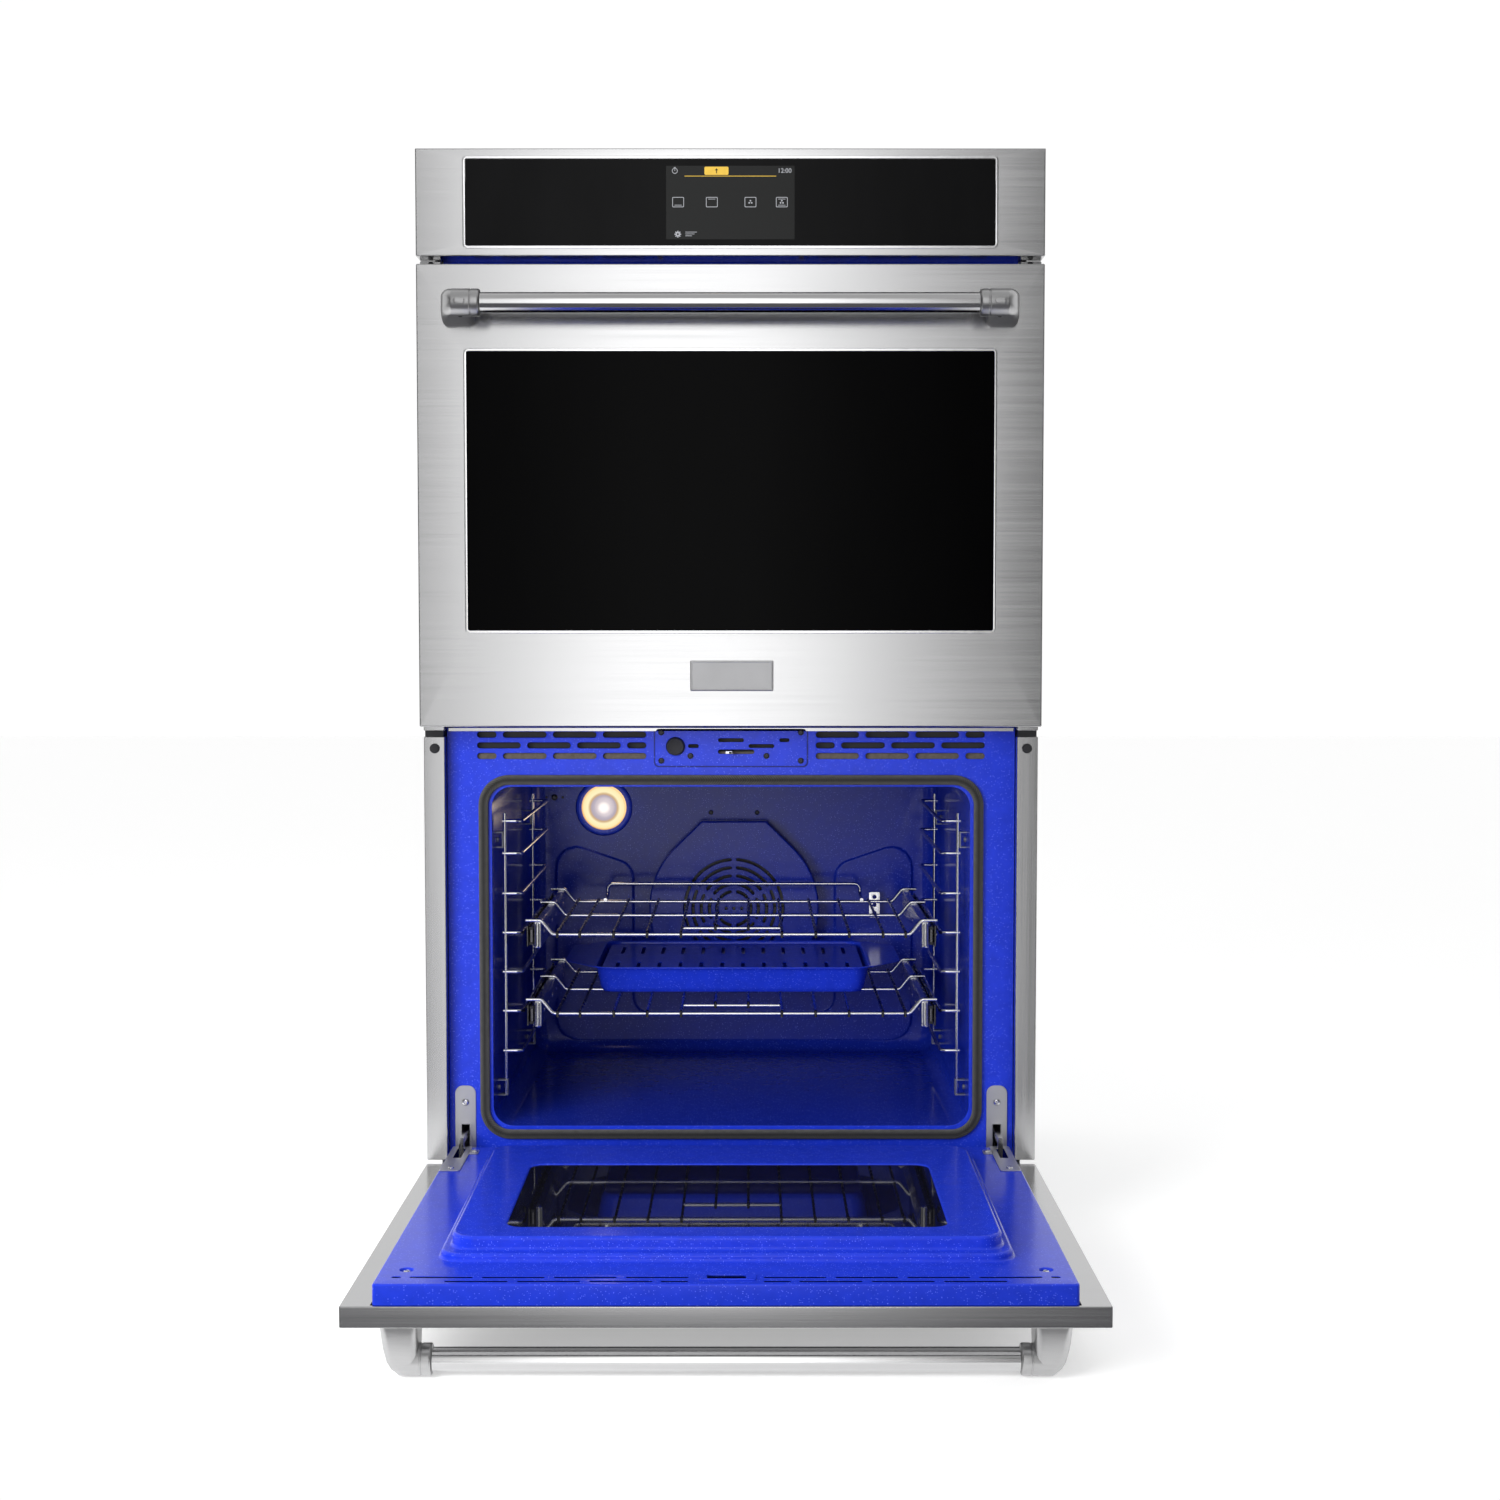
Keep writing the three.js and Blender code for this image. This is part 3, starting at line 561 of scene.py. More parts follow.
class Finish:
    """A new material, or the tree given: nodes are added by type, settings and sockets."""

    def __init__(self, name="", tree=None):
        if tree is None:
            self.material = bpy.data.materials.new(name)
            self.material.use_nodes = True
            tree = self.material.node_tree
        self.tree = tree
        self.tree.nodes.clear()

    def add(self, kind, settings=None, inputs=None, output=0):
        node = self.tree.nodes.new("ShaderNode" + kind)
        for key, value in (settings or {}).items():
            if key == "stops":
                self.set_ramp(node, value)
            else:
                setattr(node, key, value)
        for key, value in (inputs or {}).items():
            if isinstance(value, Value):
                self.tree.links.new(value.socket, node.inputs[key])
            else:
                node.inputs[key].default_value = value
        return Value(self, node.outputs[output]) if node.outputs else None

    @staticmethod
    def set_ramp(node, stops):
        elements = node.color_ramp.elements
        while len(elements) < len(stops):
            elements.new(0.5)
        for element, (position, color) in zip(elements, stops):
            element.position, element.color = position, color

    def where(self, centre=(0, 0, 0), turn=(0, 0, 0), stretch=(1, 1, 1)):
        """The place on the piece, in metres from a centre, turned and stretched."""
        here = self.add("TexCoord", output="Object")
        moved = self.add("VectorMath", {"operation": "SUBTRACT"}, {0: here, 1: centre})
        return self.add("Mapping", inputs={"Vector": moved, "Rotation": turn, "Scale": stretch})

    def noise(self, spot, scale, detail=2.0, rough=0.5):
        return self.add("TexNoise", inputs={
            "Vector": spot, "Scale": scale, "Detail": detail, "Roughness": rough})

    def cells(self, spot, scale, output="Distance"):
        return self.add("TexVoronoi", inputs={"Vector": spot, "Scale": scale}, output=output)

    def parts(self, vector):
        return [self.add("SeparateXYZ", inputs={0: vector}, output=i) for i in range(3)]

    def blend(self, one, other, factor):
        colors = [c if isinstance(c, Value) else (*c[:3], 1.0) for c in (one, other)]
        return self.add("Mix", {"data_type": "RGBA", "clamp_factor": True},
                        {0: factor, 6: colors[0], 7: colors[1]}, output=2)

    def bump(self, height, distance, strength=1.0):
        return self.add("Bump", inputs={
            "Height": height, "Distance": distance, "Strength": strength})

    def shade(self, **sockets):
        """Ends the finish in one surface shader."""
        inputs = {key.replace("_", " "): value for key, value in sockets.items()}
        inputs = {key: (*value, 1.0) if isinstance(value, tuple) and len(value) == 3 else value
                  for key, value in inputs.items()}
        shader = self.add("BsdfPrincipled", inputs=inputs)
        self.add("OutputMaterial", inputs={"Surface": shader})
        return self.material


def tint(color, by):
    return tuple(channel * by for channel in color[:3])


def brushed(name, color, roughness, stretch, depth=0.00002):
    """Rolled steel sheet, brushed one way: fine lines, broader bands and faint clouds."""
    f = Finish(name)
    fine = f.noise(f.where(stretch=stretch), 1.0, 3, 0.6)
    band = f.noise(f.where(stretch=tuple(0.16 * s for s in stretch)), 1.0, 2)
    cloud = f.noise(f.where(), 5.0, 2)
    grain = fine * 0.6 + band * 0.4
    color = f.blend(tint(color, 0.88), tint(color, 1.1), grain + (cloud - 0.5) * 0.35)
    rough = roughness + (fine - 0.5) * 0.12 + (band - 0.5) * 0.08 + (cloud - 0.5) * 0.05
    return f.shade(Base_Color=color, Metallic=1.0, Roughness=rough,
                   Normal=f.bump(fine, depth, 0.5))


def stainless():
    steel = oven_settings().steel
    return brushed("stainless_brushed_across", steel.color, steel.roughness, (5, 1100, 1100))


def stainless_upright():
    steel = oven_settings().steel
    return brushed("stainless_brushed_upright", tint(steel.color, 0.97), steel.roughness,
                   (1100, 1100, 5))


def polished():
    """Handles: fine satin steel, close to a mirror."""
    steel = oven_settings().steel
    return brushed("polished_handle_steel", tint(steel.color, 1.16), 0.15, (12, 900, 900), 0.000006)


def satin():
    """Handle posts: the same steel, blasted to a soft sheen."""
    steel = oven_settings().steel
    return brushed("satin_post_steel", tint(steel.color, 0.94), 0.34, (60, 700, 700), 0.00001)


def bright_edge():
    """The glass frames' polished metal."""
    f = Finish("bright_trim")
    wear = f.noise(f.where(), 60.0, 3)
    return f.shade(Base_Color=f.blend((0.72, 0.72, 0.73), (0.84, 0.84, 0.85), wear),
                   Metallic=1.0, Roughness=0.12 + wear * 0.1)


def plated_wire():
    """Bright plating on drawn wire, a little dull where it is handled."""
    f = Finish("plated_wire")
    smear = f.noise(f.where(), 45.0, 3)
    grain = f.noise(f.where(), 900.0, 1)
    return f.shade(Base_Color=f.blend((0.70, 0.70, 0.73), (0.86, 0.86, 0.88), smear),
                   Metallic=1.0, Roughness=0.14 + smear * 0.16,
                   Normal=f.bump(grain, 0.00002, 0.3))


def shaded_wire():
    """The racks' long wires and the glides: the same plating, darkened as painted shade."""
    f = Finish("wire_darkened_as_painted_shade")
    smear = f.noise(f.where(), 60.0, 3)
    return f.shade(Base_Color=f.blend((0.05, 0.05, 0.06), (0.16, 0.155, 0.16), smear),
                   Metallic=1.0, Roughness=0.16 + smear * 0.2)


def zinc():
    """Galvanised sheet: dull zinc with its crystal spangle."""
    f = Finish("galvanised_sheet")
    here = f.where()
    spangle = f.cells(here, 90.0, "Color")
    shade = f.parts(spangle)[0]
    cloud = f.noise(here, 7.0, 3)
    color = f.blend((0.36, 0.37, 0.39), (0.56, 0.57, 0.58), shade * 0.6 + cloud * 0.4)
    return f.shade(Base_Color=color, Metallic=0.85, Roughness=0.36 + shade * 0.16,
                   Normal=f.bump(cloud, 0.0001, 0.2))


def plate_steel():
    """Stamped zinc-plated hinge plates: pale, smooth and even."""
    f = Finish("stamped_plate_steel")
    grain = f.noise(f.where(), 350.0, 3)
    cloud = f.noise(f.where(), 16.0, 2)
    return f.shade(Base_Color=f.blend((0.50, 0.50, 0.51), (0.66, 0.66, 0.67), cloud),
                   Metallic=0.9, Roughness=0.32 + grain * 0.14,
                   Normal=f.bump(grain, 0.00002, 0.4))


def porcelain(name, painted_shade=1.0):
    """Blue porcelain enamel: pale flecks in a deep glossy coat with a faint orange peel. A second
    argument below one darkens it all as painted shade.
    """
    f = Finish(name)
    look = oven_settings().enamel
    here = f.where()
    flecks = None
    for scale, size, share in ((640.0, 0.30, 0.84), (360.0, 0.20, 0.88)):
        lit = (f.cells(here, scale) < size) * (f.parts(f.cells(here, scale, "Color"))[0] > share)
        flecks = lit if flecks is None else flecks + lit
    cloud = f.noise(here, 70.0, 3)
    # a second argument below one darkens the enamel here: painted shade
    base = f.blend(tint(look.color, 0.8 * painted_shade), tint(look.color, 1.12 * painted_shade), cloud)
    color = f.blend(base, look.fleck_color, flecks * look.fleck_strength)
    peel = f.noise(here, 190.0, 1)
    return f.shade(Base_Color=color, Roughness=look.roughness + cloud * 0.06,
                   Coat_Weight=0.08, Coat_Roughness=0.06, Specular_IOR_Level=0.22,
                   Normal=f.bump(peel, 0.00006, 0.35))


def enamel():
    return porcelain("blue_porcelain")


# a near-black copy of the enamel: the painted shadow round the latch plates
def painted_shadow_enamel():
    return porcelain("painted_shadow_porcelain", 0.25)


# the front's enamel at six tenths: painted shade inside the cavities and on the fan baffles
def cavity_enamel_painted_shade():
    return porcelain("cavity_porcelain_painted_shade", 0.6)


def black_glass(name, color, level, roughness):
    """Glass printed black behind, with a trace of wiping on its face."""
    f = Finish(name)
    wipe = f.noise(f.where(stretch=(1, 1, 0.35)), 26.0, 4)
    return f.shade(Base_Color=f.blend(tint(color, 0.8), tint(color, 1.3), wipe),
                   Roughness=roughness + wipe * 0.03, Specular_IOR_Level=level)


def window_glass():
    return black_glass("door_window_glass", oven_settings().glass.window, 0.02, 0.03)


def inner_glass():
    return black_glass("inner_window_glass", oven_settings().glass.inner, 0.55, 0.012)


def touch_glass():
    return black_glass("touch_panel_glass", oven_settings().glass.panel, 0.03, 0.05)


def screen():
    """The display behind the touch glass, a shade greyer than its surround."""
    f = Finish("display_screen")
    glow = f.noise(f.where(), 12.0, 2)
    return f.shade(Base_Color=f.blend((0.009, 0.0095, 0.0095), (0.012, 0.0125, 0.0125), glow),
                   Roughness=0.2 + glow * 0.05, Specular_IOR_Level=0.15)


def glowing(name, color, strength, dim=0.7):
    f = Finish(name)
    flicker = f.noise(f.where(), 180.0, 2)
    shade = f.blend(tint(color, dim), color, flicker + 0.3)
    return f.shade(Base_Color=tint(color, 0.2), Roughness=0.5, Emission_Color=shade,
                   Emission_Strength=strength)


def ui_grey():
    return glowing("display_symbols", (0.42, 0.43, 0.46), 1.0)


def ui_gold():
    return glowing("display_accent", (0.80, 0.52, 0.07), 1.0)


def ui_dark():
    return glowing("display_key_arrow", (0.05, 0.04, 0.02), 0.2)


def rubber():
    f = Finish("black_rubber")
    grain = f.noise(f.where(), 700.0, 2)
    return f.shade(Base_Color=f.blend((0.012, 0.012, 0.013), (0.03, 0.03, 0.032), grain),
                   Roughness=0.5 + grain * 0.2, Normal=f.bump(grain, 0.00005, 0.4))


def black_oxide_and_painted_shade():
    """Blackened screws: dark with brighter rubbed patches. The fans behind the baffles take it too,
    as painted shade.
    """
    f = Finish("black_oxide_screws_and_painted_shade")
    wear = f.noise(f.where(), 400.0, 3)
    return f.shade(Base_Color=f.blend((0.015, 0.015, 0.018), (0.12, 0.12, 0.13), wear),
                   Metallic=0.8, Roughness=0.28 + wear * 0.15)


def moulded():
    f = Finish("moulded_plastic")
    grain = f.noise(f.where(), 420.0, 3)
    return f.shade(Base_Color=f.blend((0.014, 0.014, 0.016), (0.035, 0.035, 0.04), grain),
                   Roughness=0.42 + grain * 0.15, Normal=f.bump(grain, 0.00006, 0.5))


def circuit_board():
    f = Finish("circuit_board")
    here = f.where(stretch=(1, 0.4, 1))
    track = f.cells(here, 160.0) < 0.12
    color = f.blend((0.012, 0.10, 0.04), (0.05, 0.26, 0.12), track)
    return f.shade(Base_Color=color, Roughness=0.4 + track * 0.2, Specular_IOR_Level=0.4)


def braid():
    """Braided glass fibre: strands that slant both ways from the rope's middle, with the rope
    painted lighter on two opposite sides and darker between them as painted highlight and painted
    shade.
    """
    f = Finish("gasket_braid")
    along, around, _ = f.parts(f.add("UVMap", {"uv_map": "UVMap"}))
    # how far round the rope from its two lighter sides: it slants the strands and also sets the
    # painted shade
    slant_and_side_shade = abs(abs(around - 0.5) - 0.25)
    strand = (along * 330.0 + slant_and_side_shade * 8.0).fraction()
    thread = (along * 1000.0 + slant_and_side_shade * 60.0).fraction()
    hump = strand * (1 - strand) * 4.0
    shade = hump * 0.75 + thread * 0.25
    worn = f.noise(f.where(), 220.0, 3)
    # the last factor paints the rope lighter where it faces two ways and darker between: painted
    # highlight and painted shade
    color = f.blend((0.004, 0.004, 0.004), (0.27, 0.265, 0.245),
                    shade * (worn * 0.8 + 0.4) * (1.0 - slant_and_side_shade * 3.4))
    return f.shade(Base_Color=color, Roughness=0.62 + worn * 0.2, Specular_IOR_Level=0.35,
                   Normal=f.bump(shade, 0.0005, 0.9))


def lamp_glass():
    """A lit oven lamp: a pale bulb in the middle of a warm pressed lens."""
    f = Finish("lamp_lens_lit")
    look = oven_settings().lamp
    here = f.add("TexCoord", output="Object")
    x, _, z = f.parts(f.add("VectorMath", {"operation": "SUBTRACT"},
                            {0: here, 1: (LAMP_X * MM, 0, LAMP_Z * MM)}))
    # the upper oven's lamp is one deck higher: its height repeats
    level = (z * (1 / (DECK * MM)) + 0.5).fraction() - 0.5
    height = level * (DECK * MM)
    radius = f.add("Math", {"operation": "SQRT"}, {0: x * x + height * height})
    ramp = f.add("ValToRGB", {"stops": [
        (0.0, (1.0, 1.0, 0.96, 1)), (0.16, (0.95, 0.88, 0.86, 1)), (0.30, (0.56, 0.50, 0.56, 1)),
        (0.54, (0.44, 0.39, 0.47, 1)), (0.62, (0.62, 0.40, 0.20, 1)),
        (0.72, (1.0, 0.90, 0.55, 1)), (0.90, (1.0, 0.84, 0.45, 1)), (1.0, (0.8, 0.42, 0.14, 1))]},
        {0: radius * (1000 / 33.0)})
    ribs = (radius * 900.0).fraction()
    return f.shade(Base_Color=(0.04, 0.035, 0.03), Roughness=0.12, Emission_Color=ramp,
                   Emission_Strength=look.glow, Normal=f.bump(ribs, 0.0002, 0.3))


def sheathed_element():
    f = Finish("element_sheath")
    heat = f.noise(f.where(stretch=(1, 0.4, 1)), 50.0, 4)
    return f.shade(Base_Color=f.blend((0.035, 0.034, 0.036), (0.15, 0.14, 0.14), heat),
                   Metallic=0.6, Roughness=0.42 + heat * 0.2)


def insulation():
    f = Finish("fibre_insulation")
    fibres = f.noise(f.where(stretch=(1, 3, 1)), 180.0, 5, 0.7)
    return f.shade(Base_Color=f.blend((0.05, 0.045, 0.04), (0.20, 0.17, 0.14), fibres),
                   Roughness=0.9, Normal=f.bump(fibres, 0.001, 0.8))


def pale_floor():
    f = Finish("studio_floor")
    tone = oven_settings().stage.floor
    dust = f.noise(f.where(), 4.0, 3)
    return f.shade(Base_Color=f.blend(tint(tone, 0.985), tone, dust), Roughness=0.75,
                   Specular_IOR_Level=0.1, Emission_Color=(1.0, 1.0, 1.0),
                   Emission_Strength=0.36)


LOOKS = {}


def finish_of(look):
    """The material that a finish function makes, made once."""
    if look not in LOOKS:
        LOOKS[look] = look()
    return LOOKS[look]


def paint_node(node, look):
    """Gives a CAD node that stays in sight its finish."""
    materials = frame["nodes"][node].data.materials
    materials.clear()
    materials.append(finish_of(look))


# ---- settings ----------------------------------------------------------------------------------
class SteelSettings(PropertyGroup):
    color: FloatVectorProperty(
        name="Steel", description="Colour of the stainless sheet", subtype="COLOR", size=3,
        min=0, max=1, default=(0.54, 0.54, 0.545))
    roughness: FloatProperty(
        name="Roughness", description="How far the brushed steel spreads reflections",
        subtype="FACTOR", min=0.05, max=1, default=0.20)
    edge: FloatProperty(
        name="Pressed edge", description="Radius of the folded edges of doors and panel",
        unit="LENGTH", min=0.0003, max=0.004, default=0.0016)


class EnamelSettings(PropertyGroup):
    color: FloatVectorProperty(
        name="Enamel", description="Colour of the porcelain enamel", subtype="COLOR", size=3,
        min=0, max=1, default=(0.014, 0.042, 0.62))
    fleck_color: FloatVectorProperty(
        name="Flecks", description="Colour of the pale flecks", subtype="COLOR", size=3,
        min=0, max=1, default=(0.12, 0.19, 0.95))
    fleck_strength: FloatProperty(
        name="Fleck strength", description="How strongly the flecks show", subtype="FACTOR",
        min=0, max=1, default=0.75)
    roughness: FloatProperty(
        name="Roughness", description="Gloss of the enamel's coat", subtype="FACTOR",
        min=0.02, max=1, default=0.17)


class GlassSettings(PropertyGroup):
    window: FloatVectorProperty(
        name="Window", description="Colour of the doors' outer glass", subtype="COLOR", size=3,
        min=0, max=1, default=(0.0010, 0.0010, 0.0011))
    inner: FloatVectorProperty(
        name="Inner glass", description="Colour of the glass in the doors' liners",
        subtype="COLOR", size=3, min=0, max=1, default=(0.006, 0.006, 0.009))
    panel: FloatVectorProperty(
        name="Touch panel", description="Colour of the control panel's glass",
        subtype="COLOR", size=3, min=0, max=1, default=(0.0055, 0.0055, 0.0058))


class WireSettings(PropertyGroup):
    thick: FloatProperty(
        name="Frame wire", description="Diameter of the racks' and guides' frame wires",
        unit="LENGTH", min=0.002, max=0.008, default=0.005)
    thin: FloatProperty(
        name="Grid wire", description="Diameter of the racks' grid wires", unit="LENGTH",
        min=0.002, max=0.006, default=0.0038)
    sides: IntProperty(
        name="Sides", description="Sides of a wire's section", min=6, max=24, default=12)


class LampSettings(PropertyGroup):
    glow: FloatProperty(
        name="Lens glow", description="How bright the lamp's lens looks", min=0, max=20,
        default=1.0)
    power: FloatProperty(
        name="Lamp power", description="Light that the lamp gives inside the cavity",
        unit="POWER", min=0, max=20, default=0.06)


class StageSettings(PropertyGroup):
    floor: FloatVectorProperty(
        name="Floor", description="Colour of the studio floor", subtype="COLOR", size=3,
        min=0, max=1, default=(0.93, 0.93, 0.93))
    distance: FloatProperty(
        name="Camera distance", description="From the doors' outer face to the camera",
        unit="LENGTH", min=0.5, max=10, default=2.5285)
    side: FloatProperty(
        name="Camera to the right", description="How far right of the middle it stands",
        unit="LENGTH", min=-2, max=2, default=0.02356)
    height: FloatProperty(
        name="Camera height", description="Above the underside of the base pan",
        unit="LENGTH", min=0, max=3, default=0.7015)
    tilt: FloatProperty(
        name="Camera tilt", description="Below the level", subtype="ANGLE", min=-1, max=1,
        default=math.radians(3.014))
    lens: FloatProperty(
        name="Lens", description="Focal length on a 36 mm frame, in millimetres", min=20,
        max=200, default=50)


class OvenSettings(PropertyGroup):
    steel: PointerProperty(type=SteelSettings, name="Steel", description="Stainless sheet")
    enamel: PointerProperty(type=EnamelSettings, name="Enamel", description="Blue enamel")
    glass: PointerProperty(type=GlassSettings, name="Glass", description="Black glass")
    wire: PointerProperty(type=WireSettings, name="Wire", description="Racks and guides")
    lamp: PointerProperty(type=LampSettings, name="Lamp", description="Oven lamps")
    stage: PointerProperty(type=StageSettings, name="Stage", description="Camera and floor")


def oven_settings():
    return bpy.context.scene.wall_oven


class BuildStep:
    """What every build operator shares: its pieces are made by build()."""
    bl_options = {"REGISTER", "UNDO"}

    def execute(self, _context):
        before = len(bpy.data.objects)
        self.build()
        if len(bpy.data.objects) == before:
            raise RuntimeError(f"{self.bl_idname} made nothing")
        return {"FINISHED"}


# ---- casing ------------------------------------------------------------------------------------
def sheet_arch(grow=0.0):
    """The wrap's section: up one side, over the top and down the other, with folded corners."""
    radius = 4.0 + grow
    left, right, top = WRAP.x0 - grow, WRAP.x1 + grow, WRAP.z1 + grow
    over = arc(left + radius, top - radius, radius, 180, 90, 4)
    over += arc(right - radius, top - radius, radius, 90, 0, 4)
    return [(left, WRAP.z0)] + over + [(right, WRAP.z0)]


class OVEN_OT_casing(BuildStep, Operator):
    """Wrap with its stiffening ribs, base pan, rear cover with louvres and the conduit box"""
    bl_idname = "wall_oven.casing"
    bl_label = "Casing"

    def build(self):
        wrap = Shape()
        outline = sheet_arch() + list(reversed(sheet_arch(-1.2)))
        wrap.loft([(lambda: outline, WRAP.d0), (lambda: outline, WRAP.d1)])
        for side in (-1, 1):
            for z in (160, 420, 680, 940, 1180):
                x = sorted((side * (WRAP.x1 - 0.4), side * (WRAP.x1 + 0.9)))
                wrap.block(x, (WRAP.d0 + 60, WRAP.d1 - 60), (z - 9, z + 9), 0.8)
            for z in (40, 560, 640, 1240):
                for depth in (WRAP.d0 + 12, WRAP.d1 - 12):
                    wrap.screw(place(side * WRAP.x1, depth, z), Vector((side, 0, 0)), 4.2, 2.2)
        for x in (-240, 0, 240):
            wrap.block((x - 60, x + 60), (120, 124), (WRAP.z1 - 0.4, WRAP.z1 + 0.8), 0.6)
            wrap.block((x - 60, x + 60), (440, 444), (WRAP.z1 - 0.4, WRAP.z1 + 0.8), 0.6)
        finish(wrap, "casing_wrap", "case", zinc, ["chassis_wrap"])

        cover = Shape()
        outer = rounded(COVER.x0, COVER.x1, COVER.z0, COVER.z1, 3)
        louvres = [slot(x - 54, x + 54, 1184 + 22 * row, 8)
                   for x in (-230, -110, 110, 230) for row in range(3)]
        lows = [slot(x - 30, x + 30, 60 + 16 * row, 6) for x in (-230, 230) for row in range(3)]
        rims = [cover.sleeve(outer, bend((-1.5, COVER.d1), (0, COVER.d1 - 1.5)) + [
            (0, COVER.d0)])[0]]
        for hole in louvres + lows:
            rims.append(cover.sleeve(hole, bend((0.8, COVER.d1), (0, COVER.d1 - 0.8)))[0])
        cover.fill(rims)
        finish(cover, "rear_cover_sheet", "case", zinc, ["rear_cover"], sheet=1.2,
               facing=Vector((0, 1, 0)))
        trimmings = Shape()
        for x in (-350, -120, 120, 350):
            for z in (16, 620, 1248):
                trimmings.screw(place(x, COVER.d1 - 2.4, z), Vector((0, 1, 0)), 4.4, 2.3)
        finish(trimmings, "rear_cover_screws", "case", plate_steel)

        box = Shape()
        box.block((CONDUIT.x0, CONDUIT.x1), (CONDUIT.d0, CONDUIT.d1 - 16),
                  (CONDUIT.z0, CONDUIT.z1), 1.6, 3)
        centre = (CONDUIT.z0 + CONDUIT.z1) / 2
        middle = (CONDUIT.x0 + CONDUIT.x1) / 2
        gland = [(0, -6), (9.0, -6), (12.0, -5.6), (12.0, -2), (9.6, -1.6), (9.6, 14), (10, 15),
                 (8.4, 16), (7.2, 15), (7.2, 2), (0, 2)]
        box.turned(gland, place(middle, CONDUIT.d1 - 16, centre), Vector((0, 1, 0)))
        for x in (CONDUIT.x0 + 10, CONDUIT.x1 - 10):
            for depth in (CONDUIT.d0 + 10, CONDUIT.d1 - 26):
                box.screw(place(x, depth, CONDUIT.z1 - 2), Vector((0, 0, 1)), 3.4, 1.8)
        finish(box, "conduit_box_shell", "case", zinc, ["conduit_box"])
        paint_node("base_pan", zinc)


class OVEN_OT_trims(BuildStep, Operator):
    """Side trims in two lengths, bottom trim, divider strip, bumpers and trim screws"""
    bl_idname = "wall_oven.trims"
    bl_label = "Trims"

    def build(self):
        seam_low, seam_high = 583.0, 590.5
        for name, side in SIDES:
            trim = Shape()
            x0, x1 = sorted((side * TRIM.x0, side * TRIM.x1))
            for z0, z1 in ((TRIM.z0, seam_low), (seam_high, TRIM.z1)):
                trim.block((x0, x1), (TRIM.d0, TRIM.d1), (z0, z1), 1.0, 3)
            finish(trim, f"side_trim_{name}_cover", "case", stainless_upright,
                   [f"side_trim_{name}"])
            gap = Shape()
            gap.block((x0 + 1.5, x1 - 1.5), (TRIM.d0 + 2, TRIM.d1 - 2),
                      (seam_low - 4, seam_high + 4), 0.5)
            bumper_x, bumper_z = side * 364.4, 568.6
            gap.turned([(0, -4), (4.2, -4), (5.6, -3.2), (6.1, -1.6), (6.1, 0.5), (0, 0.5)],
                       place(bumper_x, TRIM.d0, bumper_z), Vector((0, 1, 0)))
            gap.turned([(0, -3.6), (4.2, -3.6), (5.6, -3.0), (6.1, -1.6), (6.1, 0.5), (0, 0.5)],
                       place(bumper_x, TRIM.d0, bumper_z + DECK), Vector((0, 1, 0)))
            finish(gap, f"side_trim_{name}_bumpers", "case", rubber)
            screws = Shape()
            for z in (seam_high + 20, TRIM.z1 - 3.6):
                screws.screw(place(side * 364.4, TRIM.d0, z), Vector((0, -1, 0)), 3.4, 1.6)
            finish(screws, f"side_trim_{name}_screws", "case", black_oxide_and_painted_shade)

        lip = Shape()
        lip.block((BOTTOM_TRIM.x0, BOTTOM_TRIM.x1), (BOTTOM_TRIM.d0, BOTTOM_TRIM.d0 + 1.5),
                  (BOTTOM_TRIM.z0, BOTTOM_TRIM.z1), 0.6)
        lip.block((BOTTOM_TRIM.x0, BOTTOM_TRIM.x1), (BOTTOM_TRIM.d0 + 0.2, BOTTOM_TRIM.d1),
                  (BOTTOM_TRIM.z0, BOTTOM_TRIM.z0 + 1.5), 0.5)
        finish(lip, "bottom_trim_sheet", "case", stainless, ["bottom_trim"])

        strip = Shape()
        strip.block((-350, 350), (FRAME.d0 - 0.9, FRAME.d0 - 0.1), (589.0, 593.4), 0.35)
        finish(strip, "divider_strip", "case", stainless)


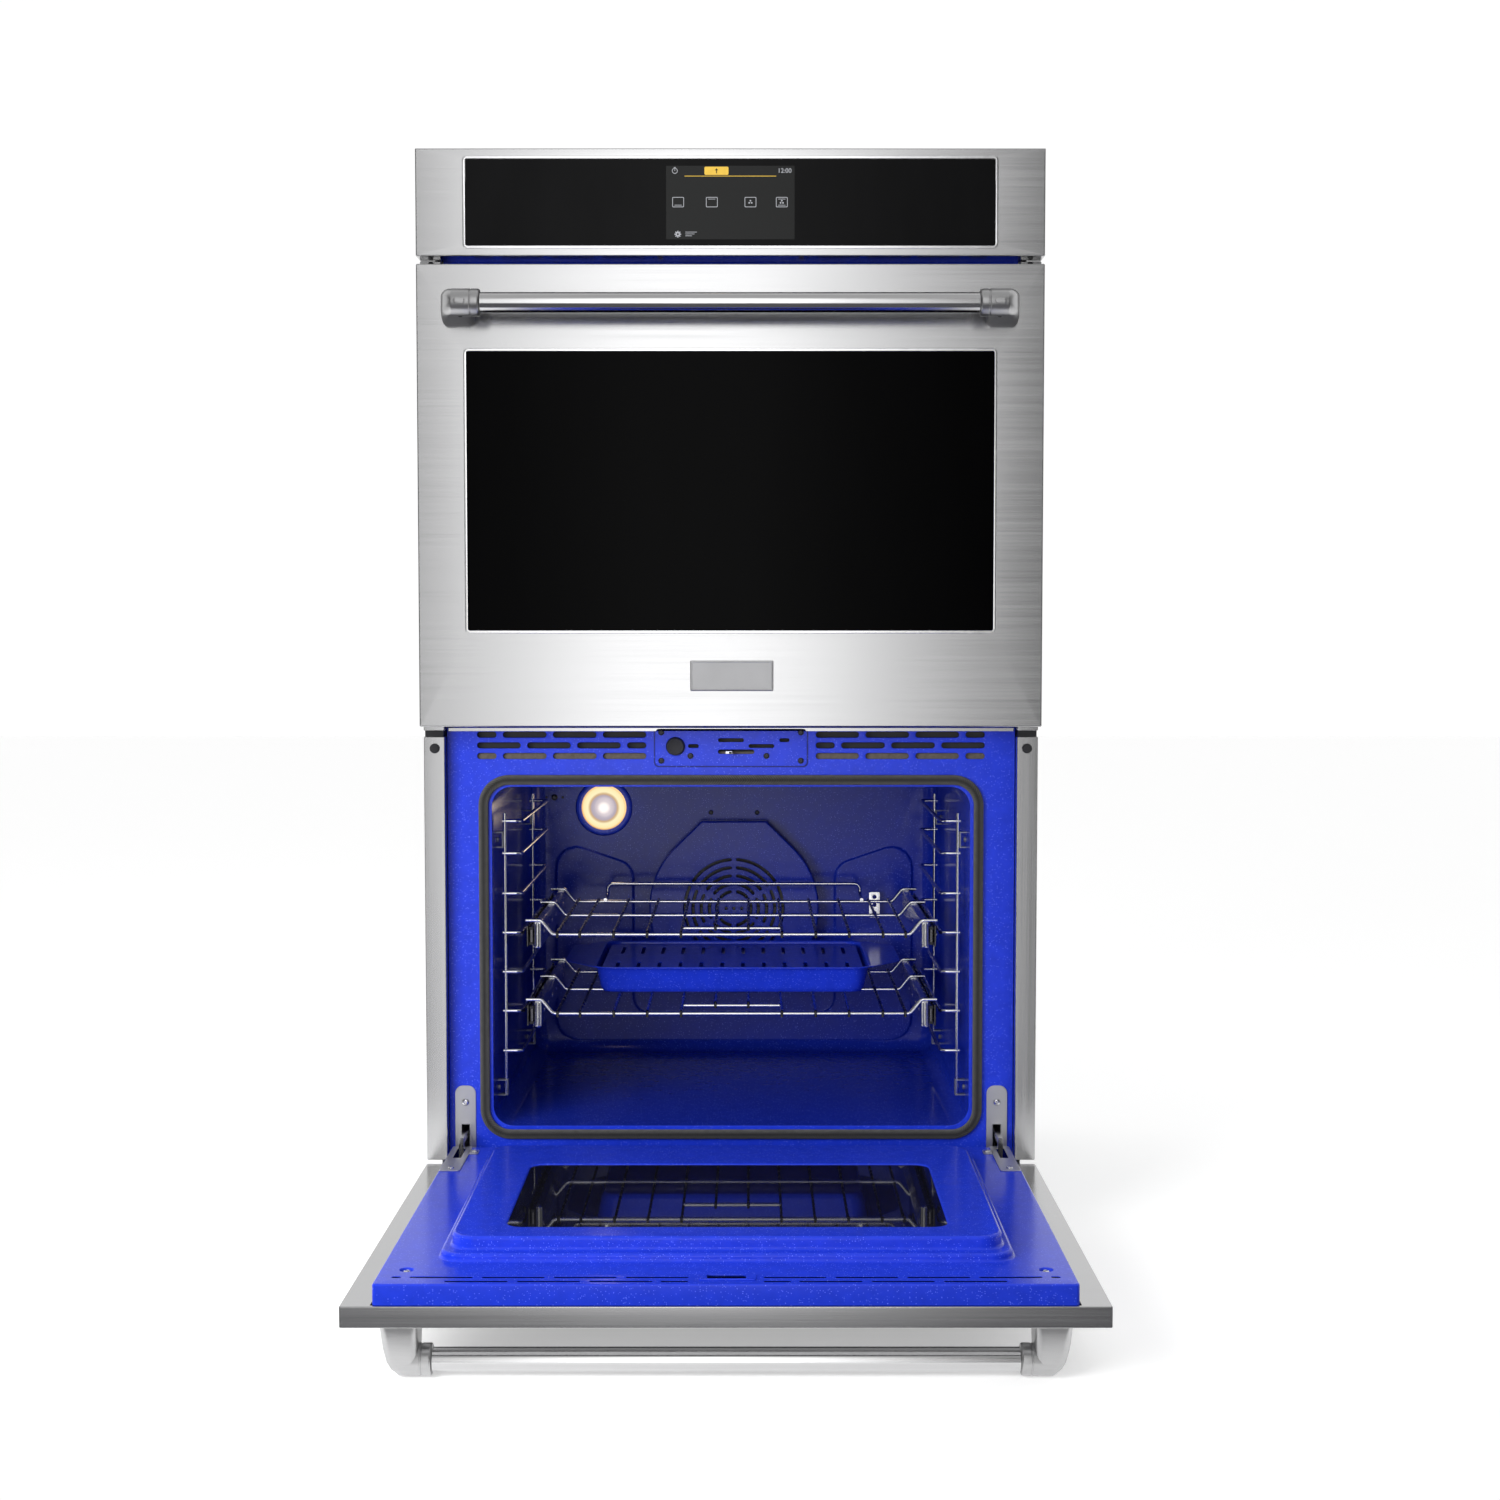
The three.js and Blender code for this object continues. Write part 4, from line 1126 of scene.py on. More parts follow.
# ---- control panel -----------------------------------------------------------------------------
class OVEN_OT_control_panel(BuildStep, Operator):
    """Steel fascia, bright frame, touch glass and the display's symbols"""
    bl_idname = "wall_oven.control_panel"
    bl_label = "Control panel"

    def build(self):
        edge = oven_settings().steel.edge / MM
        window = rounded(PANEL_GLASS.x0, PANEL_GLASS.x1, PANEL_GLASS.z0, PANEL_GLASS.z1, 2.0)
        outer = rounded(FASCIA.x0, FASCIA.x1, FASCIA.z0, FASCIA.z1, 0.9, 3)
        fascia = Shape()
        rim = fascia.sleeve(outer, bend((-edge, 0), (0, edge)) + [
            (0, FASCIA.d1 - 1), (-1.2, FASCIA.d1), (-1.2, 1.2)])
        hole = fascia.sleeve(window, bend((3.3, 0), (2.6, 0.7)) + [(2.6, 1.2)])
        fascia.fill([rim[0], hole[0]])
        fascia.fill([rim[1], hole[1]])
        finish(fascia, "control_fascia_sheet", "case", stainless,
               ["control_fascia"])
        frame_ring(window, "control_glass_frame", "case")
        pane = Shape()
        pane.plate(lambda by=0.0: window(by - 0.2), [], PANEL_GLASS.d0 + 0.3, PANEL_GLASS.d1, 0.4)
        finish(pane, "touch_glass", "case", touch_glass, ["control_glass"])
        face = PANEL_GLASS.d0 + 0.3
        area = Shape()
        area.plate(rounded(DISPLAY.x0, DISPLAY.x1, DISPLAY.z0, DISPLAY.z1, 1.0), [],
                   face - 0.06, face + 0.1, 0.02)
        finish(area, "display_area", "case", screen)
        self.symbols(face - 0.2)
        for node in ("display_module",):
            paint_node(node, moulded)
        paint_node("control_board", circuit_board)

    def symbols(self, depth):
        """Plain signs: a timer, a key, four cooking modes, a gear and the clock."""
        grey, gold, dark = Shape(), Shape(), Shape()
        flat = (depth, depth + 0.1)
        top = DISPLAY.z1 - 6.0
        grey.plate(circle(-66.5, top, 3.4), [circle(-66.5, top, 2.7)], *flat, 0.02)
        grey.plate(rounded(-66.8, -66.2, top - 0.2, top + 2.2, 0.2, 1), [], *flat, 0.02)
        grey.plate(rounded(-67.7, -65.3, top + 3.7, top + 4.4, 0.2, 1), [], *flat, 0.02)
        gold.plate(rounded(-31, -2.2, top - 4.8, top + 4.9, 1.6), [], *flat, 0.02)
        arrow = [(-17.1, top - 3), (-16.1, top - 3), (-16.1, top + 0.6), (-14.6, top + 0.6),
                 (-16.6, top + 3), (-18.6, top + 0.6), (-17.1, top + 0.6)]
        dark.plate(lambda by=0.0: arrow, [], depth - 0.12, depth - 0.02, 0.0)
        line = top - 6.2
        gold.plate(rounded(-55, 55, line - 0.35, line + 0.35, 0.3, 2), [], *flat, 0.02)
        grey.text("12:00", 7.6, 65, top, depth)
        modes = DISPLAY.z0 + 44
        for x, mode in ((-62.6, "bake"), (-22.2, "broil"), (24.1, "fan"), (61.7, "both")):
            self.mode(grey, x, modes, flat, mode)
        gear = DISPLAY.z0 + 6
        grey.plate(circle(-63.0, gear, 2.8, 20), [circle(-63.0, gear, 1.2, 12)], *flat, 0.02)
        for i in range(8):
            x, z = arc(-63.0, gear, 3.4, 45 * i, 45 * i, 1)[0]
            grey.plate(circle(x, z, 0.75, 8), [], *flat, 0.02)
        for i in range(3):
            grey.plate(rounded(-54, -54 + 14 - 3 * i, gear + 2.2 - 2.2 * i, gear + 2.8 - 2.2 * i,
                               0.2, 1), [], *flat, 0.02)
        finish(grey, "display_symbols", "case", ui_grey)
        finish(gold, "display_accent", "case", ui_gold)
        finish(dark, "display_key_arrow", "case", ui_dark)

    @staticmethod
    def mode(shape, x, z, flat, mode):
        """A little oven outline with what is on inside it."""
        shape.plate(rounded(x - 7, x + 7, z - 6, z + 6, 1.2, 3),
                    [rounded(x - 6.3, x + 6.3, z - 5.3, z + 5.3, 0.8, 3)], *flat, 0.02)
        if mode in ("bake", "both"):
            shape.plate(rounded(x - 4.4, x + 4.4, z - 3.9, z - 3.3, 0.2, 1), [], *flat, 0.02)
        if mode in ("broil", "both"):
            shape.plate(rounded(x - 4.4, x + 4.4, z + 3.3, z + 3.9, 0.2, 1), [], *flat, 0.02)
        if mode in ("fan", "both"):
            for i in range(3):
                u, v = arc(x, z, 1.7, 90 + 120 * i, 90 + 120 * i, 1)[0]
                shape.plate(circle(u, v, 1.0, 12), [], *flat, 0.02)


def frame_ring(window, name, body, turn=None, width=3.5):
    """The bright metal frame round a glass."""
    ring = Shape()
    outer = ring.sleeve(window, bend((width - 0.7, -0.35), (width, 0.35)) + [(width, 1.1)])
    inner = ring.sleeve(window, bend((0.5, -0.35), (0.05, 0.2)) + [(0.05, 1.1)])
    ring.fill([outer[0], inner[0]])
    ring.fill([outer[1], inner[1]])
    return finish(ring, name, body, bright_edge, turn=turn)


class OVEN_OT_blower(BuildStep, Operator):
    """Finishes the cooling blower and adds the air channel's mouth above the upper oven"""
    bl_idname = "wall_oven.blower"
    bl_label = "Cooling blower"

    def build(self):
        duct = Shape()
        for lift in LIFTS.values():
            duct.block((-330, 330), (54, 56), (lift + 537, lift + 563.6), 0.4)
        finish(duct, "vent_duct_baffles", "case", insulation)
        paint_node("blower_housing", zinc)
        paint_node("blower_wheel", moulded)


# ---- front frames and latches ------------------------------------------------------------------
def vent_slots(lift):
    """Three staggered rows of slots on each side of the latch."""
    slots = []
    length, half, gap = 54.0, 24.0, 8.0
    outer, inner = 314.6, 105.0
    for row in range(3):
        lengths = [length] * 3 + [half] if row == 1 else [half] + [length] * 3
        z = lift + 558.3 + 13.2 * row
        x = outer
        for size in lengths:
            for side in (-1, 1):
                a, b = sorted((side * x, side * max(x - size, inner)))
                slots.append(slot(a, b, z, 7.4))
            x -= size + gap
    return slots


class OVEN_OT_front_frames(BuildStep, Operator):
    """Enamelled front frames with their vents, and the steel hinge receivers on them"""
    bl_idname = "wall_oven.front_frames"
    bl_label = "Front frames"

    def build(self):
        for oven in OVENS:
            lift = LIFTS[oven]
            box = edges_of(f"{oven}_front_frame")
            mouth = rounded(MOUTH.x0, MOUTH.x1, lift + MOUTH.z0, lift + MOUTH.z1,
                            MOUTH_RADIUS, 8)
            holes = vent_slots(lift)
            for side in (-1, 1):
                x0, x1 = sorted((side * 326.0, side * 338.0))
                holes.append(rounded(x0, x1, lift + 60, lift + 97, 1.0, 2))
            holes.append(rounded(-83, 80, lift + 560.5, lift + 585, 6, 3))
            if oven == "upper":
                holes += [slot(x - 27, x + 27, 1167.5, 6)
                          for x in (-262, -196, -130, 130, 196, 262)]
            plate = Shape()
            plate.plate(rounded(box.x0, box.x1, box.z0, box.z1, 1.5, 3), holes + [mouth],
                        box.d0, box.d1, 0.7)
            finish(plate, f"{oven}_front_sheet", "case", enamel,
                   [f"{oven}_front_frame"])
            self.receivers(oven, lift, box)

    @staticmethod
    def receivers(oven, lift, box):
        for name, side in SIDES:
            shape = Shape()
            x0, x1 = sorted((side * 319.0, side * 345.0))
            s0, s1 = sorted((side * 327.0, side * 337.0))
            outline = rounded(x0, x1, lift + 50, lift + 146, 10, 6)
            shape.plate(outline, [rounded(s0, s1, lift + 60, lift + 97, 0.6, 2)],
                        box.d0 - 1.2, box.d0 - 0.05, 0.45)
            finish(shape, f"{oven}_hinge_receiver_{name}", "case", plate_steel)
            screws = Shape()
            screws.screw(place(side * 332, box.d0 - 1.2, lift + 125), Vector((0, -1, 0)), 4.6,
                         2.6)
            finish(screws, f"{oven}_hinge_receiver_{name}_screw", "case", plated_wire)


class OVEN_OT_latches(BuildStep, Operator):
    """Latch plates with their screws, latch hooks and door switches"""
    bl_idname = "wall_oven.latches"
    bl_label = "Latches"

    def build(self):
        for oven in OVENS:
            lift = LIFTS[oven]
            front = FRAME.d0 - 0.9
            plate = Shape()
            holes = [slot(-53.2, -39.9, lift + 570.7, 4.7), slot(-16, 16, lift + 578, 4.7),
                     slot(21.8, 53.6, lift + 570.7, 4.7), slot(59.9, 72.3, lift + 578, 4.7),
                     slot(-16, 29, lift + 563.6, 5.4), circle(-68.8, lift + 570.2, 11.7)]
            plate.plate(rounded(-94, 94, lift + 546, lift + 592.5, 5, 4), holes, front,
                        FRAME.d0 - 0.05, 0.4)
            finish(plate, f"{oven}_latch_plate", "case", enamel)
            # a dark enamel ring laid on the frame round the latch plate: painted shadow at the
            # plate's edge
            painted_shadow_ring = Shape()
            painted_shadow_ring.plate(rounded(-95.6, 95.6, lift + 544.4, lift + 592.5, 6, 4),
                         [rounded(-93, 93, lift + 547, lift + 590, 4, 4)], FRAME.d0 - 0.4,
                         FRAME.d0 - 0.05, 0.1)
            finish(painted_shadow_ring, f"{oven}_latch_plate_painted_shadow", "case", painted_shadow_enamel)
            screws = Shape()
            spots = [(x, z) for x in (-86.4, 86.4) for z in (552.5, 587.5)]
            for x, z in spots + [(-50.3, 558.4), (43.9, 558.4)]:
                screws.screw(place(x, front, lift + z), Vector((0, -1, 0)), 3.7, 1.9)
            finish(screws, f"{oven}_latch_screws", "case", black_oxide_and_painted_shade)
            hook = Shape()
            z0, z1 = lift + HOOK.z0, lift + HOOK.z1
            hook.block((-3, 2), (34, 72), (z0, z1), 0.5)
            hook.block((-7, 2), (34, 38), (z0 - 0.4, z1 + 0.4), 0.8)
            hook.block((-3, 18), (71, 88), (z0, z1), 0.5)
            hook.rod(place(10, 80, z0 - 3), place(10, 80, z1 + 3), 3, 16, 0.5)
            finish(hook, f"{oven}_latch_hook_bar", f"{oven}_latch", plated_wire,
                   [f"{oven}_latch_hook"])
            button = Shape()
            profile = [(0, 0.8), (7, 0.8), (9.4, 0.0), (10.6, 0.9), (11, 2.4), (11, 17), (0, 17)]
            button.turned(profile, place(-68.8, SWITCH.d0, lift + 570.2), Vector((0, 1, 0)), 40)
            finish(button, f"{oven}_door_switch_button", f"{oven}_switch", moulded,
                   [f"{oven}_door_switch"])
            shaft = Shape()
            shaft.block((-330, 330), (60, 62), (lift + 548, lift + 592), 0.5)
            finish(shaft, f"{oven}_latch_backing", "case", moulded)


# ---- cavities ----------------------------------------------------------------------------------
class OVEN_OT_cavities(BuildStep, Operator):
    """Enamelled cavities with rounded corners, pressings and wall clips"""
    bl_idname = "wall_oven.cavities"
    bl_label = "Cavities"

    def build(self):
        for oven in OVENS:
            lift = LIFTS[oven]
            mouth = rounded(MOUTH.x0, MOUTH.x1, lift + MOUTH.z0, lift + MOUTH.z1,
                            MOUTH_RADIUS, 8)
            back, sweep = MOUTH.d1, 20.0
            tub = Shape()
            levels = [(0, MOUTH.d0), (0, 200), (0, 380)]
            levels += bend((0, back - sweep), (-sweep, back), True, 6)
            wall = tub.sleeve(mouth, levels)
            press = back_pressing(lift)
            raised = tub.sleeve(press, bend((2.6, back), (0, back - 1.3), False, 3)[:-1] +
                                bend((0, back - 1.3), (-2.6, back - 2.6), True, 3))
            lens = circle(LAMP_X, lift + LAMP_Z, 33.5, 32)
            hole = tub.sleeve(lens, [(0, back), (0, back + 1)])
            tub.fill([wall[1], raised[0], hole[0]])
            tub.fill([raised[1]])
            # the tub takes the darkened enamel: painted shade
            finish(tub, f"{oven}_cavity_tub", "case", cavity_enamel_painted_shade, [f"{oven}_cavity"],
                   sheet=WALL * 0.9, facing=Vector((0, -1, 0)))
            self.fittings(oven, lift, back)

    @staticmethod
    def fittings(oven, lift, back):
        probe = Shape()
        x, z = PROBE[0], lift + PROBE[1]
        probe.turned([(0, 1), (4.6, 1), (4.6, -1.2), (2.4, -1.8), (2.4, -6), (0, -6)],
                     place(x, back, z), Vector((0, 1, 0)), 20)
        for dx in (-12, 12):
            probe.screw(place(x + dx, back, z), Vector((0, -1, 0)), 1.8, 1.2)
        finish(probe, f"{oven}_temperature_probe", "case", black_oxide_and_painted_shade)
        bracket = Shape()
        x, z = BRACKET[0], lift + BRACKET[1]
        holes = [circle(x, z + rise, 3.0, 16) for rise in (-12, 0, 12)]
        bracket.plate(rounded(x - 8, x + 8, z - 19, z + 19, 1.5, 3), holes, back - 14, back - 12.8,
                      0.3)
        for rise in (-17.5, 17.5):
            bracket.block((x - 6, x + 6), (back - 13, back), (z + rise - 0.6, z + rise + 0.6), 0.2)
        finish(bracket, f"{oven}_probe_bracket", "case", plated_wire)
        clips = Shape()
        for side in (-1, 1):
            for depth in CLIP_DEPTHS:
                for z0, z1, reach in CLIP_SPANS:
                    x0, x1 = sorted((side * reach, side * (MOUTH.x1 + 0.2)))
                    for z in (z0, z1):
                        clips.block((x0, x1), (depth - 5.5, depth + 5.5),
                                    (lift + z - 0.6, lift + z + 0.6), 0.3)
                    inner = side * reach
                    clips.block(sorted((inner, inner + side * 1.1)), (depth - 5.5, depth + 5.5),
                                (lift + z0, lift + z1), 0.3)
                    clips.screw(place(side * (MOUTH.x1 - 0.5), depth, lift + (z0 + z1) / 2),
                                Vector((-side, 0, 0)), 3.4, 2.4)
        finish(clips, f"{oven}_guide_clips", "case", zinc)


class OVEN_OT_gaskets(BuildStep, Operator):
    """Braided gaskets round both mouths"""
    bl_idname = "wall_oven.gaskets"
    bl_label = "Gaskets"

    def build(self):
        for oven in OVENS:
            lift = LIFTS[oven]
            middle = (GASKET.d0 + GASKET.d1) / 2
            path = rounded(-307, 307, lift + 85, lift + 528.8, 32, 14)()
            dense = []
            for (x, z), (u, v) in zip(path, path[1:] + path[:1]):
                count = max(1, round(math.hypot(u - x, v - z) / 12))
                dense += [place(x + (u - x) * i / count, middle, z + (v - z) * i / count)
                          for i in range(count)]
            rope = Shape()
            rope.tube(dense, 6.1, 16, closed=True, flat=(GASKET.d1 - GASKET.d0) / 12.4,
                      up=Vector((0, 1, 0)), mapped=True)
            finish(rope, f"{oven}_gasket_rope", "case", braid,
                   [f"{oven}_gasket"], crease=80)


class OVEN_OT_fans(BuildStep, Operator):
    """Convection fan baffles with their slots, and the fans painted dark behind them as painted
    shade
    """
    bl_idname = "wall_oven.fans"
    bl_label = "Fans"

    def build(self):
        for oven in OVENS:
            lift = LIFTS[oven]
            z = lift + FAN_HEIGHT
            outline = baffle_outline(lift)
            holes = []
            for radius in (72, 60, 48, 36, 25):
                trim = math.degrees(5.4 / radius)
                for i in range(6):
                    start = 30 + 60 * i
                    holes.append(curved_slot(0, z, radius, 4.5, start + trim, start + 60 - trim))
            for ring, count in ((0, 1), (11.5, 6)):
                for i in range(count):
                    x, height = arc(0, z, ring, 60 * i, 60 * i, 1)[0]
                    holes.append(circle(x, height, 2.4, 12))
            dish = Shape()
            edge = 2.5
            rims = [dish.sleeve(outline, bend((-edge, BAFFLE.d0), (0, BAFFLE.d0 + edge), False, 4)
                                + [(0, BAFFLE.d1)])[0]]
            for hole in holes:
                rims.append(dish.sleeve(hole, bend((0.6, BAFFLE.d0), (0, BAFFLE.d0 + 0.6),
                                                   steps=2))[0])
            dish.fill(rims)
            # the baffle takes the darkened enamel: painted shade
            finish(dish, f"{oven}_baffle_dish", "case", cavity_enamel_painted_shade,
                   [f"{oven}_fan_baffle"], sheet=1.2, facing=Vector((0, -1, 0)))
            screws = Shape()
            for x in (-34, 34):
                screws.screw(place(x, MOUTH.d1, lift + BAFFLE.z1 + 10.5), Vector((0, -1, 0)),
                             3.4, 2.2)
            finish(screws, f"{oven}_baffle_screws", "case", black_oxide_and_painted_shade)
            # the fan wheel and motor take the dark screw finish: painted shade seen through the
            # baffle's slots
            paint_node(f"{oven}_fan_wheel", black_oxide_and_painted_shade)
            paint_node(f"{oven}_fan_motor", black_oxide_and_painted_shade)


class OVEN_OT_lamps(BuildStep, Operator):
    """Lamps: pressed enamel ring, domed lens and the holder behind"""
    bl_idname = "wall_oven.lamps"
    bl_label = "Lamps"

    def build(self):
        for oven in OVENS:
            lift = LIFTS[oven]
            centre = place(LAMP_X, MOUTH.d1, lift + LAMP_Z)
            back = Vector((0, 1, 0))
            ring = Shape()
            ring.turned([(33.2, 1.5), (33.2, -1.6), (34.4, -2.8), (38, -3.2), (40.6, -2.2),
                         (42.4, 0.6), (42.4, 1.5), (33.2, 1.5)], centre, back, 48)
            finish(ring, f"{oven}_lamp_ring", "case", enamel)
            lens = Shape()
            lens.turned([(0, -7.5), (8, -7.3), (16, -6.6), (24, -5.0), (29, -3.0), (31.6, -0.8),
                         (32, 1), (32, 10), (0, 10)], centre, back, 48)
            lens.turned([(0, 10), (39, 10), (40, 11), (40, 33), (0, 33)], centre, back, 32)
            finish(lens, f"{oven}_lamp_lens", "case", lamp_glass,
                   [f"{oven}_lamp"])
        look = oven_settings().lamp
        if look.power:
            light = bpy.data.lights.new("lamp_light", "POINT")
            light.energy, light.color = look.power, (1.0, 0.78, 0.5)
            light.shadow_soft_size = 0.025
            glow = bpy.data.objects.new("lamp_light", light)
            glow.location = place(LAMP_X, MOUTH.d1 - 45, LAMP_Z) * MM
            bpy.context.scene.collection.objects.link(glow)


class OVEN_OT_broil_elements(BuildStep, Operator):
    """Broil elements looped under both ceilings, with their hangers"""
    bl_idname = "wall_oven.broil_elements"
    bl_label = "Broil elements"

    def build(self):
        for oven in OVENS:
            lift = LIFTS[oven]
            z = lift + 501
            left, right, rear = -195, 225, MOUTH.d1 - 1
            runs = (380, 408, 436, 464)
            corners = [place(left - 30, rear, z), place(left - 30, runs[0], z)]
            for i, depth in enumerate(runs):
                ends = (right, left) if i % 2 == 0 else (left, right)
                corners += [place(ends[1], depth, z)] * (i > 0) + [place(ends[0], depth, z)]
            corners.append(place(left, rear, z))
            element = Shape()
            element.tube(filleted(corners, 13, 6), 3.0, 12)
            replaced = ["lower_broil_element"] if oven == "lower" else []
            finish(element, f"{oven}_element_tube", "case", sheathed_element,
                   replaced, crease=60)
            hangers = Shape()
            for x in (-120, 120):
                hangers.tube([place(x, runs[0] - 3, z + 4.6), place(x, runs[3] + 3, z + 4.6)],
                             1.5, 8)
                hangers.tube([place(x, 422, z + 4.6), place(x, 422, lift + MOUTH.z1 - 0.2)],
                             1.5, 8)
            finish(hangers, f"{oven}_element_hangers", "case", plated_wire, crease=60)


# ---- racks -------------------------------------------------------------------------------------
def guide_wires(shape, side, lift, wire):
    """One wall's rack guide: two uprights and a hoop of wire for every shelf height."""
    front, rear = 100.0, 436.0
    upright, reach = 287.0, 266.0
    for depth in (front, rear):
        shape.tube([place(side * upright, depth, lift + 124),
                    place(side * upright, depth, lift + 483)], wire, 12)
    for z in RUNGS:
        hoop = [place(side * (upright + 3), front, lift + z), place(side * reach, front, lift + z),
                place(side * reach, rear, lift + z), place(side * (upright + 4), rear, lift + z)]
        shape.tube(filleted(hoop, 7), wire, 12)


class OVEN_OT_rack_guides(BuildStep, Operator):
    """Wire rack guides on both walls of both ovens"""
    bl_idname = "wall_oven.rack_guides"
    bl_label = "Rack guides"

    def build(self):
        wire = oven_settings().wire.thick / MM / 2
        for oven in OVENS:
            for name, side in SIDES:
                shape = Shape()
                guide_wires(shape, side, LIFTS[oven], wire)
                replaced = [f"rack_guide_{name}"] if oven == "lower" else []
                finish(shape, f"{oven}_guide_wires_{name}", "case", plated_wire,
                       replaced, crease=60)


def rack_wires(shape, long_wires, plane, wires):
    """A rack: three stepped cross wires, a grid of long ones and a backstop."""
    thick, thin = wires.thick / MM / 2, wires.thin / MM / 2
    front, _, back = RACK_BARS
    for depth in RACK_BARS:
        level, raised = plane - 1.0, plane - 1.0 + RACK_RISE
        corners = [place(x, depth, z) for x, z in (
            (-261, raised), (-241, raised), (-226.5, level), (226.5, level), (241, raised),
            (261, raised))]
        shape.tube(filleted(corners, 7.5, 5), thick, wires.sides)
    top = plane + 2.2
    for offset in RACK_WIRES:
        for x in (-offset, offset):
            start = RACK_SHORT_BAR if offset == RACK_WIRES[0] else front - 1.2
            corners = [place(x, start - 2.2, top - 7), place(x, start - 1.6, top),
                       place(x, back + 1.5, top)]
            long_wires.tube(filleted(corners, 2.4, 3), thin, wires.sides)
    shape.tube([place(x, RACK_SHORT_BAR, plane - 2) for x in (-64, 64)], thick, wires.sides)
    stop = [place(x, depth, plane + z) for x, depth, z in (
        (-183.1, back - 2, 1.6), (-183.1, RACK_BACKSTOP, 1.6), (-183.1, RACK_BACKSTOP, 19.1),
        (183.1, RACK_BACKSTOP, 19.1), (183.1, RACK_BACKSTOP, 1.6), (183.1, back - 2, 1.6))]
    shape.tube(filleted(stop, 8, 5), thick, wires.sides)


def inner_rail(shape, plane, side):
    """The rail that a rack rests on, with its rounded front cap."""
    x0, x1 = sorted((side * 241.3, side * 250.4))
    front, back = 97.0, 439.0
    shape.block((x0, x1), (front, back), (plane - 18, plane + 15.5), 1.6, 3)
    shape.block((x0 - 0.05, x1 + 0.05), (front - 1, front + 9), (plane - 19.5, plane + 16), 4.2,
                4)
    for depth in range(int(front) + 40, int(back) - 20, 55):
        x = side * 241.3
        shape.turned([(0, -0.5), (2.6, -0.5), (2.9, 0.2), (2.9, 0.6), (0, 0.6)],
                     place(x, depth, plane - 2), Vector((side, 0, 0)), 16)


class OVEN_OT_racks(BuildStep, Operator):
    """Wire racks on pull-out glides in the lower oven, and plain racks in the upper one"""
    bl_idname = "wall_oven.racks"
    bl_label = "Racks and glides"

    def build(self):
        wires = oven_settings().wire
        for name in RACKS:
            plane = RAIL_CENTRES[name]
            grid, rungs = Shape(), Shape()
            rack_wires(grid, rungs, plane, wires)
            # the long wires take the darkened wire: painted shade
            finish(rungs, f"{name}_rack_rungs", f"{name}_rack", shaded_wire, crease=60)
            finish(grid, f"{name}_rack_wires", f"{name}_rack", plated_wire,
                   [f"{name}_rack"], crease=60)
            for hand, side in SIDES:
                rail = Shape()
                inner_rail(rail, plane, side)
                finish(rail, f"{name}_rack_rail_{hand}", f"{name}_rack", plated_wire)
                self.glide(name, hand, side, plane)
        for plane in UPPER_RACK_PLANES:
            shelf, rungs = Shape(), Shape()
            rack_wires(shelf, rungs, DECK + plane + 2, wires)
            # the long wires take the darkened wire: painted shade
            finish(rungs, f"upper_rack_rungs_{plane:.0f}", "case", shaded_wire, crease=60)
            finish(shelf, f"upper_rack_wires_{plane:.0f}", "case", plated_wire, crease=60)

    @staticmethod
    def glide(name, hand, side, plane):
        member = Shape()
        x0, x1 = sorted((side * 251.4, side * 256.4))
        member.block((x0, x1), (98.5, 435), (plane - 13.5, plane + 8.5), 1.2, 3)
        # the glide member takes the darkened wire: painted shade
        finish(member, f"{name}_glide_member_{hand}", f"{name}_glides", shaded_wire,
               [f"{name}_glide_{hand}"])
        wipers = Shape()
        for z0, z1 in ((-14, -10.5), (5.5, 9)):
            wipers.block((x0 - 0.1, x1 + 0.1), (97.4, 101), (plane + z0, plane + z1), 0.5)
        finish(wipers, f"{name}_glide_wipers_{hand}", f"{name}_glides", rubber)
        fixed = Shape()
        a, b = sorted((side * 257.1, side * 259.9))
        fixed.block((a, b), (95.5, 440), (plane - 15.8, plane + 10.8), 0.9, 2)
        for depth in (130, 376):
            hook = [place(side * 259.5, depth + 12, plane + 2), place(side * 269, depth + 12,
                                                                      plane + 2),
                    place(side * 269, depth + 12, plane - 6)]
            fixed.tube(filleted(hook, 3), 2.0, 10)
        # the fixed rail takes the darkened wire: painted shade
        finish(fixed, f"{name}_glide_rail_{hand}", "case", shaded_wire)


